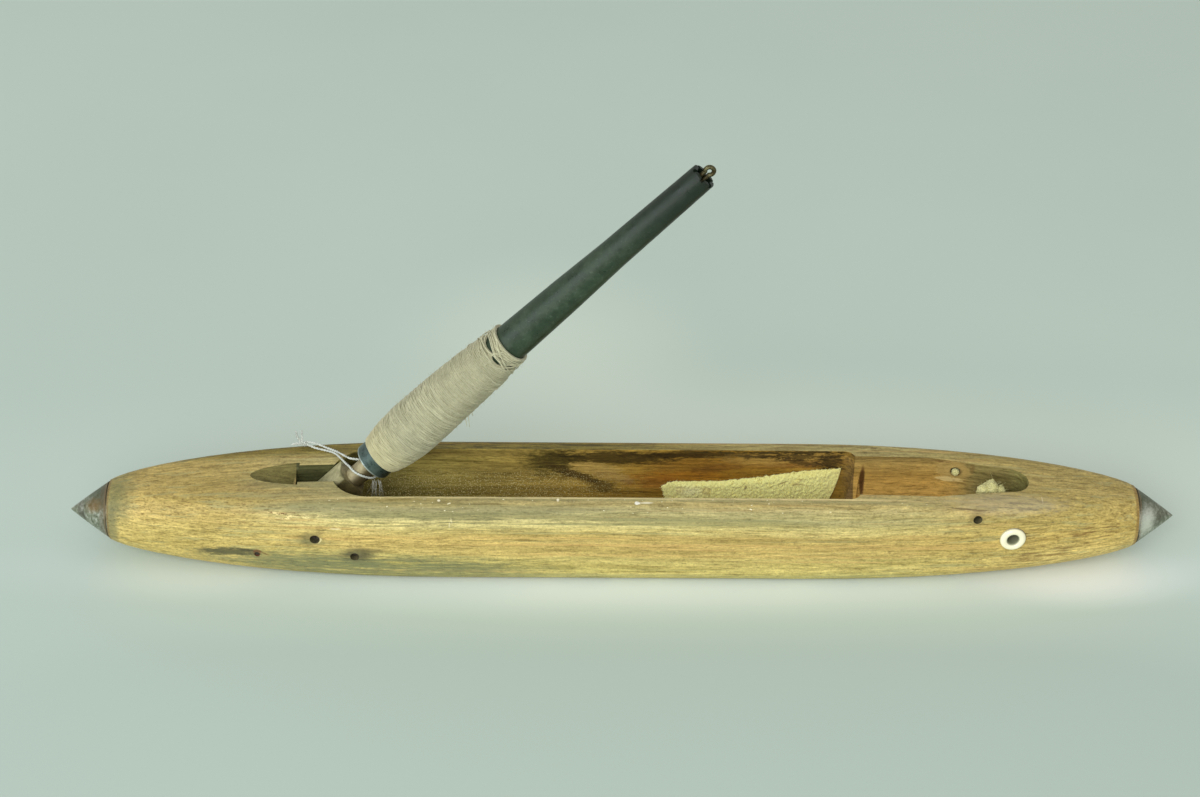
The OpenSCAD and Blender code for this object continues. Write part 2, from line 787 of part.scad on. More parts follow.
module yarn_turns() {
    last = len(turn_points) - 1;
    out = [for (p = turn_path) [0, cos(p[1]), sin(p[1])]];
    along = [
        for (i = [0 : last])
            i == 0 || i == last ? [1, 0, 0] : unit(turn_points[i + 1] - turn_points[i - 1])
    ];
    side = [for (i = [0 : last]) unit(cross(out[i], along[i]))];
    up = [for (i = [0 : last]) cross(along[i], side[i])];
    echo("least gap of the yarn turns to themselves, mm", turn_gap);
    color("antiquewhite")
        on_axis()
            swept_tube(turn_points, side, up, turn_radius, turn_sides);
}

// A glazed eyelet: domed rim on the face and a tube through to the pocket
module thread_eye() {
    rim = eye_rim_diameter / 2;
    bore = eye_bore_diameter / 2;
    tube = eye_tube_diameter / 2;
    rim_height = 1.3;
    rim_steps = 8;
    middle = (rim + bore) / 2;
    color("ivory")
        at_eye()
            rotate_extrude()
                polygon(concat(
                    [[bore, -eye_length], [tube, -eye_length], [tube, -eye_sink], [rim, -eye_sink]],
                    [for (i = [0 : rim_steps])
                        [middle + (rim - bore) / 2 * cos(180 * i / rim_steps),
                            rim_height * sin(180 * i / rim_steps)]]
                ));
}

// A strip of fleece on one side wall of the well, cut to the sweep of the far end
module fleece_strip(side) {
    sweep_z = body_height - well_end_straight;
    foot = floor_thickness + 0.2;
    set_back = function (z) well_end_radius - sqrt(pow(well_end_radius, 2) - pow(max(0, sweep_z - z), 2));
    edge_z = [for (share = [0.62, 0.715, 0.725, 0.815, 0.935, 1]) fleece_height * share];
    edge_at = [0, 0.06, 0.32, 0.55, 0.78, 1];
    top = [
        for (i = [0 : len(edge_z) - 1])
            [fleece_left + (fleece_length - set_back(foot + edge_z[i])) * edge_at[i], foot + edge_z[i]]
    ];
    right = [
        for (i = [1 : 4])
            let (z = foot + edge_z[5] * (1 - i / 4))
            [fleece_right - set_back(z), z]
    ];
    wall_y = well_radius - 0.05;
    color("lemonchiffon")
        translate([0, side > 0 ? wall_y : fleece_thickness - wall_y, 0])
            rotate([90, 0, 0])
                linear_extrude(height = fleece_thickness)
                    polygon(concat([[fleece_left, foot]], top, right));
}

module fleece_back() {
    fleece_strip(1);
}

module fleece_front() {
    fleece_strip(-1);
}

// A round lump turned about its own upright axis
module lump(radius, half, steps) {
    rotate_extrude()
        polygon(concat(
            [[0, -half]],
            [for (i = [1 : steps - 1]) [radius * sin(180 * i / steps), -half * cos(180 * i / steps)]],
            [[0, half]]
        ));
}

// A wad of wool pushed into the channel beside the eye
module wool_tuft() {
    color("cornsilk")
        translate([tuft_x, tuft_y, tuft_floor + tuft_gap + tuft_half_height])
            lump(tuft_radius, tuft_half_height, 10);
}

// A twist of wool stopping the cross hole in the back wall
module wool_plug() {
    way = unit(cross_hole_back - cross_hole_front);
    color("cornsilk")
        translate(cross_hole_back - plug_proud * way)
            rotate([0, acos(way[2]), atan2(way[1], way[0])])
                rotate_extrude()
                    polygon([
                        [0, 0], [plug_radius * 0.6, plug_radius * 0.13],
                        [plug_radius * 0.95, plug_radius * 0.6], [plug_radius, plug_proud],
                        [plug_radius * 0.95, plug_length * 0.92], [0, plug_length]
                    ]);
}

module tie_string() {
    color("white")
        cord_tube(smooth_route(string_route), string_diameter / 2, string_sides,
            [cos(raise_angle), 0, sin(raise_angle)]);
}

module tie_knot() {
    color("white") {
        translate(knot_place)
            lump(knot_radius, knot_radius * 0.8, 8);
        for (tail = tail_points)
            cord_tube(smooth_route(tail), string_diameter / 2, string_sides, [0.2, 1, 0]);
    }
}

shuttle_body();
point_left();
point_right();
pivot_pin();
stop_pin();
leaf_spring();
spring_nail();
spindle_heel();
spindle_hairpin();
pirn_tube();
pirn_ferrule();
yarn_core();
yarn_turns();
thread_eye();
fleece_back();
fleece_front();
wool_tuft();
wool_plug();
tie_string();
tie_knot();
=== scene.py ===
import bpy
import bmesh
import math
import random
from mathutils import Matrix, Vector, noise


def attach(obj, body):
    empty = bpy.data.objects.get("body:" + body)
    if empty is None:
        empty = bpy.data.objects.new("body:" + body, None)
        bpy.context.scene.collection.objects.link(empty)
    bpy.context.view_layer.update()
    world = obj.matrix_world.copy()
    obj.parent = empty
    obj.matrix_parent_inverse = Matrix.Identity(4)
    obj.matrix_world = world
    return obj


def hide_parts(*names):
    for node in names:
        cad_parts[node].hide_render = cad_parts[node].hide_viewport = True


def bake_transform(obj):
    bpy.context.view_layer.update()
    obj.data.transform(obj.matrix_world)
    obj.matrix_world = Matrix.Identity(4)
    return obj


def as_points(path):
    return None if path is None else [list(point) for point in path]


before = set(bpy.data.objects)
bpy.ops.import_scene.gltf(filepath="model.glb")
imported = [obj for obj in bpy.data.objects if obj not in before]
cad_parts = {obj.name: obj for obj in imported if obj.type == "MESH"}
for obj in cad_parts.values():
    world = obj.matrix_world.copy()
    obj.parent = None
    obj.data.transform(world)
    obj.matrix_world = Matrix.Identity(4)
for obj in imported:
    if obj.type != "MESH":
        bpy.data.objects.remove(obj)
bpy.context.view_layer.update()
scene = bpy.context.scene
scene.view_settings.view_transform = "Standard"

# The view: a camera about a metre off and 35 degrees up, level with the middle of the shuttle
# and turned a degree to the right and a degree round its own axis.
camera = bpy.data.objects.new("camera", bpy.data.cameras.new("camera"))
scene.collection.objects.link(camera)
camera.data.sensor_width = 36
camera.data.lens = 84.28
camera.data.clip_start, camera.data.clip_end = 0.05, 30
turned, looking_down, rolled = math.radians(-1.247), math.radians(90 - 35.371), math.radians(1.103)
camera.matrix_world = (
    Matrix.Translation((-0.0270, -0.8073, 0.6412)) @ Matrix.Rotation(turned, 4, "Z")
    @ Matrix.Rotation(looking_down, 4, "X") @ Matrix.Rotation(rolled, 4, "Z")
)
scene.camera = camera


# The tie string: white cotton of two plies, passed round the shank of the raised spindle and
# knotted on the deck behind the slot, with two short tails standing up and one lying down.
def paint(red, green, blue):
    """A colour picked on a 0 to 255 scale, as the shaders want it."""
    linear = [
        c / 3294.6 if c <= 10.31 else ((c / 255 + 0.055) / 1.055) ** 2.4 for c in (red, green, blue)
    ]
    return (*linear, 1)


def put(kind, *values, **options):
    """A new shader node. Values go to its inputs in order: a socket is linked, None is passed over.
    The node goes into the tree that its first socket comes from."""
    tree = next(value.id_data for value in values if isinstance(value, bpy.types.NodeSocket))
    made = tree.nodes.new("ShaderNode" + kind)
    for option, choice in options.items():
        setattr(made, option, choice)
    for socket, value in zip(made.inputs, values):
        if isinstance(value, bpy.types.NodeSocket):
            tree.links.new(value, socket)
        elif value is not None:
            socket.default_value = value
    return made


def calc(operation, *values):
    return put("Math", *values, operation=operation).outputs[0]


def product(*factors):
    result = factors[0]
    for factor in factors[1:]:
        result = calc("MULTIPLY", result, factor)
    return result


def vector_calc(operation, *values):
    is_number = operation in ("LENGTH", "DOT_PRODUCT")
    return put("VectorMath", *values, operation=operation).outputs[1 if is_number else 0]


def shades(value, stops, kind=paint):
    """A colour ramp over a value, with one painted colour at each stop."""
    ramp = put("ValToRGB", value)
    for at, colour in stops[:-2]:
        ramp.color_ramp.elements.new(at)
    for element, (at, colour) in zip(ramp.color_ramp.elements, stops):
        element.position, element.color = at, kind(*colour)
    return ramp.outputs[0]


def new_group(name, vectors, numbers, outputs):
    """A node group, its inputs in order and its outputs, which are all numbers."""
    tree = bpy.data.node_groups.new(name, "ShaderNodeTree")
    for labels, way, kind in (
        (vectors, "INPUT", "Vector"), (numbers, "INPUT", "Float"), (outputs, "OUTPUT", "Float"),
    ):
        for label in labels:
            tree.interface.new_socket(label, in_out=way, socket_type="NodeSocket" + kind)
    inputs = tree.nodes.new("NodeGroupInput").outputs[:len(vectors) + len(numbers)]
    return tree, inputs, tree.nodes.new("NodeGroupOutput").inputs


def use_group(group, *values):
    return put("Group", *values, node_tree=group).outputs


def new_material(name, rough=0.7, metal=0.0, sheen=0.0, specular=0.5):
    """A material with its shader and the object's own coordinates, ready for its pattern."""
    material = bpy.data.materials.new(name)
    material.use_nodes = True
    tree = material.node_tree
    shader = tree.nodes["Principled BSDF"]
    shader.inputs["Roughness"].default_value = rough
    shader.inputs["Metallic"].default_value = metal
    shader.inputs["Sheen Weight"].default_value = sheen
    shader.inputs["Specular IOR Level"].default_value = specular
    return material, shader, tree.nodes.new("ShaderNodeTexCoord").outputs["Object"]


def finish_shader(shader, colour, height=None, depth=0.0002, rough=None):
    """Links the pattern to the shader: its colour, bumps of a depth in metres, and its roughness."""
    tree = shader.id_data
    tree.links.new(colour, shader.inputs["Base Color"])
    if height is not None:
        bump = tree.nodes.new("ShaderNodeBump")
        bump.inputs["Distance"].default_value = depth
        tree.links.new(height, bump.inputs["Height"])
        tree.links.new(bump.outputs[0], shader.inputs["Normal"])
    if rough is not None:
        tree.links.new(rough, shader.inputs["Roughness"])


fibres, fibres_in, fibres_out = new_group(
    "spun fibres", ["Vector"], ["Fineness"], ["Shade", "Height"]
)
fine = vector_calc("MULTIPLY", *fibres_in)
hairs = put("TexNoise", fine, None, 1.0, 5.0, 0.7).outputs[0]
clumps = put("TexNoise", fine, None, 0.16, 2.0, 0.5).outputs[0]
shade = calc("MULTIPLY_ADD", clumps, 0.3, product(hairs, 0.7))
fibres.links.new(shade, fibres_out[0])
fibres.links.new(hairs, fibres_out[1])


def fibre_material(name, dark, light, fineness, depth=0.00015):
    """Spun or matted fibres between two colours; fineness is the number of them in a metre."""
    material, shader, place = new_material(name, rough=0.9, sheen=0.15)
    shade, height = use_group(fibres, place, fineness)
    finish_shader(shader, shades(shade, [(0.36, dark), (0.62, light)]), height, depth)
    return material


def squared_up(points):
    """Each point of a route, with two directions square to the route that don't twist about it."""
    side = None
    for i, point in enumerate(points):
        along = (points[min(i + 1, len(points) - 1)] - points[max(i - 1, 0)]).normalized()
        side = along.orthogonal() if side is None else side - along * side.dot(along)
        side = side.normalized()
        yield point, side, along.cross(side)


def moved_out(point, radius, turn, side, up):
    """The point moved out by a radius, at an angle from side towards up."""
    return point + radius * (math.cos(turn) * side + math.sin(turn) * up)


def lay_strand(mesh, points, radius, sides=6, taper=0.0):
    """A round strand along points; taper is the share of the radius that it loses towards its end."""
    rings = []
    for i, (point, side, up) in enumerate(squared_up(points)):
        thick = radius * (1 - taper * i / (len(points) - 1))
        turns = [2 * math.pi * k / sides for k in range(sides)]
        rings.append([mesh.verts.new(moved_out(point, thick, turn, side, up)) for turn in turns])
    for ring, after in zip(rings, rings[1:]):
        for k in range(sides):
            mesh.faces.new((ring[k], ring[(k + 1) % sides], after[(k + 1) % sides], after[k]))
    mesh.faces.new(rings[0][::-1])
    mesh.faces.new(rings[-1])


def fine_route(points, passes):
    """The same route with more points, on a smooth curve through the old ones."""
    for _ in range(passes):
        ends = [points[0], *points, points[-1]]
        fours = zip(ends, ends[1:], ends[2:], ends[3:])
        middles = [(9 * (b + c) - a - d) / 16 for a, b, c, d in fours]
        points = [p for pair in zip(points, middles) for p in pair] + [points[-1]]
    return points


def lay_plies(mesh, points, diameter, lay, plies=2):
    """Strands twisted about a route, one turn in every lay."""
    run, pressed_together = 0.0, 1.08
    strands = [[] for _ in range(plies)]
    for i, (point, side, up) in enumerate(squared_up(points)):
        run += (point - points[i - 1]).length if i else 0
        for k, strand in enumerate(strands):
            turn = 2 * math.pi * (run / lay + k / plies)
            strand.append(moved_out(point, diameter / 4, turn, side, up))
    for strand in strands:
        lay_strand(mesh, strand, diameter / 4 * pressed_together)


def new_piece(name, mesh, material):
    """A smoothly shaded piece at the origin from a finished mesh."""
    data = bpy.data.meshes.new(name)
    mesh.to_mesh(data)
    mesh.free()
    piece = bpy.data.objects.new(name, data)
    scene.collection.objects.link(piece)
    data.materials.append(material)
    for face in data.polygons:
        face.use_smooth = True
    return piece


def mm(points):
    """Points that are given in millimetres."""
    return [Vector(p) / 1000 for p in points]


string_diameter, string_lay = 0.0009, 0.0022
string_route = fine_route(mm([
    (-115.2, 16.5, 35), (-111.8, 14.2, 35), (-107.5, 12.2, 35.3), (-104.6, 9.8, 36),
    (-102.5, 6, 36.9), (-100.2, 2.3, 37.1), (-98.6, -0.2, 37.4), (-97, -2.9, 37.4),
    (-94.2, -4.4, 36.6), (-90.9, -3.4, 34.8), (-89.3, -1.2, 33.9), (-89.3, 1.2, 33.9),
    (-90.9, 3.4, 34.8), (-93.4, 4.5, 36.3), (-96.1, 3.7, 37.8), (-99.3, 4.9, 37.6),
    (-103.8, 9.9, 36.6), (-107.6, 13.1, 35.9), (-112, 16.5, 35.4), (-115.3, 17.7, 35.2),
]), 3)
string_length = sum((b - a).length for a, b in zip(string_route, string_route[1:]))
cotton = fibre_material("white cotton", (166, 172, 163), (220, 225, 214), 2200.0)

mesh = bmesh.new()
lay_plies(mesh, string_route, string_diameter, string_lay)
tie_string = new_piece("tied_string", mesh, cotton)

mesh = bmesh.new()
knot_place = Vector((-116.4, 17.1, 34.9)) / 1000
turns = [2 * math.pi * k / 36 for k in range(37)]
knot_loops = mm([
    (0.75 * math.sin(2 * a) + 0.3 * math.cos(a), 0.62 * math.cos(a), 0.45 * math.sin(3 * a))
    for a in turns
])
lay_plies(mesh, [knot_place + point for point in knot_loops], 0.00085, string_lay)
for tail in (
    [(-116.7, 17.4, 35.1), (-117, 17.6, 35.4), (-117.1, 18.3, 36.6), (-117.2, 18.8, 38),
     (-117.1, 19, 39.4)],
    [(-116.8, 17.3, 35), (-117.4, 17.4, 35.4), (-118.4, 18, 36.5), (-119.1, 18.5, 37.8),
     (-119.2, 18.6, 39.2)],
    [(-116.9, 17.05, 34.9), (-117.6, 17, 35), (-119.2, 17, 34.9), (-120.8, 16.8, 34.6)],
):
    lay_plies(mesh, fine_route(mm(tail), 3), string_diameter, string_lay)
string_knot = new_piece("string_knot", mesh, cotton)

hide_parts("tie_string")
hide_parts("tie_knot")
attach(string_knot, "shuttle")
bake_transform(tie_string)
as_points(string_route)


# The body: one block of straight-grained hardwood, planed and rounded, with the well, channel,
# slot and holes cut in it. Handling has yellowed the outside, and oil has darkened the inside.
point_x, taper_length, taper_power, axis_z = 0.1862, 0.12, 0.7, 0.0175
body_half_width, body_half_height, point_radius = 0.02075, 0.0175, 0.0101
top_edge, sole_edge = 0.0032, 0.007


def fullness(x):
    """Share of the full section that the body has reached at x."""
    return max(0, 1 - max(0, 1 - (point_x - abs(x)) / taper_length) ** 2) ** taper_power


def merged_copy(node, name, sharp, *materials):
    """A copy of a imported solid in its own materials. Its loose triangles are joined, and edges that
    turn less than sharp degrees are shaded smooth."""
    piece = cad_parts[node].copy()
    piece.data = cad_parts[node].data.copy()
    piece.name = name
    for key in list(piece.keys()):
        del piece[key]
    piece.parent = None
    scene.collection.objects.link(piece)
    bpy.ops.object.select_all(action="DESELECT")
    bpy.context.view_layer.objects.active = piece
    piece.select_set(True)
    bpy.ops.mesh.customdata_custom_splitnormals_clear()
    bpy.ops.object.mode_set(mode="EDIT")
    bpy.ops.mesh.select_all(action="SELECT")
    bpy.ops.mesh.remove_doubles(threshold=1e-6)
    bpy.ops.object.mode_set(mode="OBJECT")
    bpy.ops.object.shade_smooth_by_angle(angle=math.radians(sharp))
    piece.data.materials.clear()
    for material in materials:
        piece.data.materials.append(material)
    return piece


def fade(value, start, end):
    """0 at start, 1 at end and smooth between them."""
    ranged = put("MapRange", value, start, end, 0.0, 1.0, interpolation_type="SMOOTHSTEP")
    return ranged.outputs[0]


def tint(factor, below, above, way="MIX"):
    """The colour below with the colour above laid over it by a factor."""
    not_colours = [None] * 5
    mix = put("Mix", factor, *not_colours, below, above, data_type="RGBA", blend_type=way)
    return mix.outputs[2]


def laid_over(colour, shade, *shares):
    """The colour with a painted shade over it, as strongly as the product of the shares."""
    return tint(product(*shares), colour, paint(*shade))


def speckle(vector, stretch, detail=4.0, rough=0.55):
    """Noise on a vector stretched by a different amount along each axis."""
    scaled = vector_calc("MULTIPLY", vector, stretch)
    return put("TexNoise", scaled, None, 1.0, detail, rough).outputs[0]


grain, grain_in, grain_out = new_group(
    "wood grain", ["Vector"], [], ["Streaks", "Lines", "Pores", "Drift", "Height", "Mottle"]
)
drift = speckle(grain_in[0], (11, 26, 26), 3.0)
sway = put("CombineXYZ", 0.0, product(drift, 0.006), product(drift, 0.007))
swayed = vector_calc("ADD", grain_in[0], sway.outputs[0])
streaks = speckle(swayed, (5, 120, 190), 5.0, 0.60)
lines = speckle(swayed, (58, 850, 1300), 5.0, 0.70)
mottle = speckle(swayed, (300, 760, 980), 5.0, 0.80)
dashes = speckle(swayed, (330, 2300, 3000), 1.0, 0.5)
pores = fade(dashes, 0.62, 0.72)
height = calc("SUBTRACT", lines, product(pores, 0.6))
for k, value in enumerate((streaks, lines, pores, drift, height, mottle)):
    grain.links.new(value, grain_out[k])

patch, (place, centre, reach, ragged, soft, lean), patch_out = new_group(
    "stained patch", ["Vector", "Centre", "Reach"], ["Ragged", "Soft", "Lean"], ["Mask"]
)
away = put("SeparateXYZ", vector_calc("SUBTRACT", place, centre)).outputs
level = calc("SUBTRACT", away[2], product(away[0], lean))
away = put("CombineXYZ", away[0], away[1], level).outputs[0]
away = vector_calc("LENGTH", vector_calc("DIVIDE", away, reach))
edge = speckle(place, (260, 600, 1000), 6.0, 0.72)
edge = product(calc("SUBTRACT", edge, 0.5), ragged)
outer, inner = calc("ADD", 1.0, soft), calc("SUBTRACT", 1.0, soft)
patch.links.new(fade(calc("ADD", away, edge), outer, inner), patch_out[0])


def stains_and_painted_light(place, colour, marks, through=None):
    """Lays marks over a colour, real stains and painted light and shade alike: centre and reach in
    mm, raggedness, softness, shade, strength, lean.
    Through breaks them up, as grain does where only its open lines have taken the stain."""
    for centre, reach, ragged, soft, shade, strength, *lean in marks:
        centre, reach = [c / 1000 for c in centre], [r / 1000 for r in reach]
        mask = use_group(patch, place, centre, reach, ragged, soft, *lean)[0]
        if through is not None:
            mask = product(mask, through)
        colour = laid_over(colour, shade, mask, strength)
    return colour


def vary(value, colour, stops):
    """The colour times the shares of red, green and blue that a ramp over a value gives."""
    return tint(1.0, colour, shades(value, stops, lambda *share: (*share, 1)), "MULTIPLY")


band_height = 36


def height_bands(level, stops):
    """Colours of the side of the body by height in millimetres."""
    return shades(level, [(at / band_height, shade) for at, shade in stops])


def spread(value, reach):
    """Noise made into a shift of up to half the reach both ways."""
    return calc("MULTIPLY_ADD", value, reach, -reach / 2)


yellow_wood, shader, place = new_material("yellowed hardwood", rough=0.48, specular=0.3)
streak, line, pore, drift, height, mottle = use_group(grain, place)
axes = put("SeparateXYZ", place).outputs
level = calc("ADD", axes[2], spread(drift, 0.009))
level = calc("DIVIDE", calc("ADD", level, spread(streak, 0.008)), band_height / 1000)
middle = height_bands(level, [
    (0, (160, 152, 90)), (6, (203, 189, 114)), (9, (213, 194, 118)), (12.5, (202, 186, 114)),
    (15, (206, 182, 110)), (21, (206, 180, 108)), (24, (217, 198, 128)), (27, (221, 204, 136)),
    (30.5, (198, 186, 130)), (36, (176, 160, 102)),
])
left = height_bands(level, [
    (0, (208, 184, 106)), (10, (217, 193, 116)), (20, (219, 195, 120)), (26, (208, 182, 111)),
    (32, (184, 162, 94)), (36, (162, 144, 82)),
])
right = height_bands(level, [
    (0, (208, 185, 110)), (12, (221, 197, 121)), (20, (204, 177, 101)), (28, (190, 168, 98)),
    (33, (182, 162, 96)), (36, (168, 148, 86)),
])
colour = tint(fade(axes[0], -0.10, -0.15), middle, left)
colour = tint(fade(axes[0], 0.085, 0.14), colour, right)
colour = vary(streak, colour, [
    (0.30, (0.68, 0.68, 0.60)), (0.44, (0.90, 0.90, 0.86)),
    (0.55, (1.0, 1.0, 1.0)), (0.7, (1.06, 1.04, 1.0)),
])
colour = vary(line, colour, [
    (0.30, (0.42, 0.39, 0.30)), (0.44, (0.84, 0.83, 0.78)),
    (0.55, (1.03, 1.03, 1.03)), (0.7, (1.32, 1.32, 1.29)),
])
colour = vary(mottle, colour, [
    (0.34, (0.70, 0.69, 0.62)), (0.47, (0.97, 0.97, 0.96)),
    (0.53, (1.02, 1.02, 1.02)), (0.66, (1.22, 1.22, 1.20)),
])
grit = speckle(place, (1150, 1400, 1400), 2.0, 0.6)
colour = vary(grit, colour, [
    (0.32, (0.78, 0.77, 0.72)), (0.46, (1.0, 1.0, 1.0)),
    (0.54, (1.0, 1.0, 1.0)), (0.68, (1.16, 1.16, 1.14)),
])
at_ends = calc("ABSOLUTE", axes[0])
seams = speckle(place, (6, 420, 620), 4.0, 0.6)
away_from_ends = fade(at_ends, 0.165, 0.100)
colour = laid_over(colour, (212, 172, 104), fade(seams, 0.54, 0.66), away_from_ends, 0.5)
colour = laid_over(colour, (168, 164, 112), fade(seams, 0.46, 0.34), 0.5)
figure = calc("MULTIPLY_ADD", fade(drift, 0.42, 0.62), 0.34, 0.10)
colour = laid_over(colour, (120, 84, 40), pore, fade(at_ends, 0.075, 0.125), figure)
front = fade(axes[1], 0.004, -0.004)
grime = product(fade(streak, 0.58, 0.42), fade(axes[2], 0.0252, 0.0296), front)
colour = laid_over(colour, (130, 127, 88), grime, fade(at_ends, 0.150, 0.110), 0.54)
colour = stains_and_painted_light(place, colour, [
    ((-92, -18, 8.4), (56, 14, 4.8), 1.5, 0.5, (118, 122, 85), 0.85, -0.02),
], fade(line, 0.72, 0.47))
back_rim = product(fade(axes[1], 0.008, 0.014), fade(axes[2], 0.029, 0.032))
far_left = calc("MULTIPLY_ADD", fade(axes[0], 0.060, -0.020), 0.75, 0.2)
colour = tint(product(back_rim, far_left), colour, (0.45, 0.43, 0.18, 1), "MULTIPLY")
colour = stains_and_painted_light(place, colour, [
    ((-140.8, -19, 12.3), (9.8, 9, 1.7), 2.0, 0.35, (84, 83, 56), 0.88, 0.02),
    ((-149.0, -19, 12.0), (6.0, 9, 0.9), 2.0, 0.5, (96, 92, 60), 0.6, 0.02),
    ((-135.0, -19, 13.4), (4.0, 9, 0.4), 0.9, 0.4, (62, 58, 40), 0.7, -0.1),
    ((-129.0, -19, 12.3), (1.9, 9, 0.35), 0.7, 0.4, (112, 78, 42), 0.6, -0.5),
    ((-131.4, -20, 12.7), (1.5, 9, 1.3), 0.6, 0.3, (112, 70, 42), 0.7),
    ((-112.0, -20, 19.6), (4.0, 9, 2.8), 0.9, 0.6, (106, 102, 66), 0.7),
    ((-108.8, -20, 19.0), (0.8, 9, 0.9), 0.9, 0.3, (240, 224, 164), 0.7, 0.9),
    ((-95.4, -20, 13.3), (5.6, 9, 2.8), 1.0, 0.6, (80, 78, 54), 0.8),
    ((-90.0, -20, 15.0), (5.0, 9, 1.0), 0.9, 0.6, (104, 94, 58), 0.6),
    ((-182, -4, 26), (6, 12, 6), 1.4, 0.7, (108, 112, 74), 0.75),
    ((-184.0, -11, 18), (2.3, 6, 9), 1.2, 0.6, (118, 116, 80), 0.75),
    ((185.3, 0, 17.5), (0.9, 30, 30), 0.5, 0.4, (132, 96, 50), 0.6),
    ((-185.7, 0, 17.5), (0.8, 30, 30), 0.6, 0.4, (120, 92, 52), 0.6),
    ((137, -14, 32.6), (24, 5, 2.6), 2.2, 0.6, (184, 171, 132), 0.55),
    ((-103.0, -20, 24.6), (2.0, 6, 0.3), 0.8, 0.2, (250, 236, 186), 0.7),
    ((-61.7, -20, 29.0), (0.35, 6, 1.1), 1.0, 0.3, (246, 232, 178), 0.7, -2.0),
    ((-62.4, -20, 27.2), (0.3, 6, 1.2), 1.0, 0.3, (246, 232, 178), 0.7, 2.0),
    ((125.2, -18, 29.9), (3.0, 7, 2.5), 0.9, 0.6, (120, 100, 58), 0.55),
    ((120.5, -15, 33.1), (6.5, 4, 0.24), 0.9, 0.3, (104, 86, 56), 0.8, -0.10),
    ((126.5, -15, 32.4), (3.5, 4, 0.22), 0.9, 0.3, (104, 86, 56), 0.7, -0.02),
    ((149.4, -11, 33.2), (0.35, 3, 1.2), 1.2, 0.3, (226, 210, 164), 0.6, 2.0),
    ((4.1, -17.4, 34), (1.0, 1.0, 2), 1.6, 0.2, (252, 250, 232), 0.95),
    ((7.2, -17.3, 34), (2.2, 0.6, 2), 2.4, 0.4, (236, 230, 196), 0.8),
    ((-24.0, -15.8, 34), (0.5, 1.1, 2), 1.2, 0.3, (248, 240, 206), 0.9),
    ((-66.2, -16.6, 34), (0.6, 0.7, 2), 0.8, 0.3, (248, 240, 206), 0.9),
])
open_lines = fade(line, 0.53, 0.41)
colour = stains_and_painted_light(place, colour, [
    ((160, -16, 20.7), (16, 12, 2.0), 1.4, 0.6, (132, 98, 46), 0.65, 0.02),
    ((151, -16, 12.4), (15, 12, 3.0), 1.8, 0.6, (120, 88, 44), 0.65, 0.1),
    ((172, -10, 21), (9, 12, 3.0), 1.8, 0.6, (128, 96, 50), 0.55, 0.1),
    ((-120, -18, 31.0), (8.5, 6, 0.6), 1.4, 0.4, (118, 80, 40), 0.95),
    ((-116, -18, 30.2), (7.0, 6, 0.4), 1.4, 0.4, (128, 88, 44), 0.9, 0.03),
    ((143, -14, 32.2), (13, 5, 2.4), 2.0, 0.5, (132, 122, 94), 0.75),
    ((-60, -18, 29), (50, 8, 3.4), 1.6, 0.7, (126, 124, 88), 0.6),
    ((-40, 17, 34), (58, 5, 4), 1.6, 0.7, (62, 58, 24), 0.7),
    ((60, 17, 34), (50, 5, 4), 1.6, 0.7, (120, 98, 48), 0.4),
], open_lines)
flecks = fade(speckle(place, (420, 500, 1300), 4.0, 0.7), 0.53, 0.56)
colour = stains_and_painted_light(place, colour, [
    ((-117.5, -18, 29.3), (6.6, 6, 1.5), 1.2, 0.3, (250, 230, 162), 0.9),
    ((-124.0, -18, 30.2), (4.0, 6, 1.0), 1.2, 0.3, (246, 224, 156), 0.8),
    ((-107.5, -18, 30.0), (3.4, 6, 0.8), 1.2, 0.3, (246, 224, 156), 0.8),
], flecks)
lint = speckle(place, (800, 900, 1500), 1.0, 0.5)
on_rim = product(fade(axes[2], 0.0322, 0.0334), fade(axes[1], -0.0140, -0.0146))
lint = product(fade(lint, 0.735, 0.75), on_rim)
colour = laid_over(colour, (246, 238, 196), lint, fade(at_ends, 0.12, 0.09), 0.9)
# A painted highlight: a pale line along the rounded front edge of the well.
rim = calc("COMPARE", axes[1], -0.0147, 0.0006)
rim = product(rim, fade(at_ends, 0.120, 0.075), fade(line, 0.36, 0.50))
colour = laid_over(colour, (236, 216, 154), rim, 0.6)
finish_shader(shader, colour, height, 0.00025)

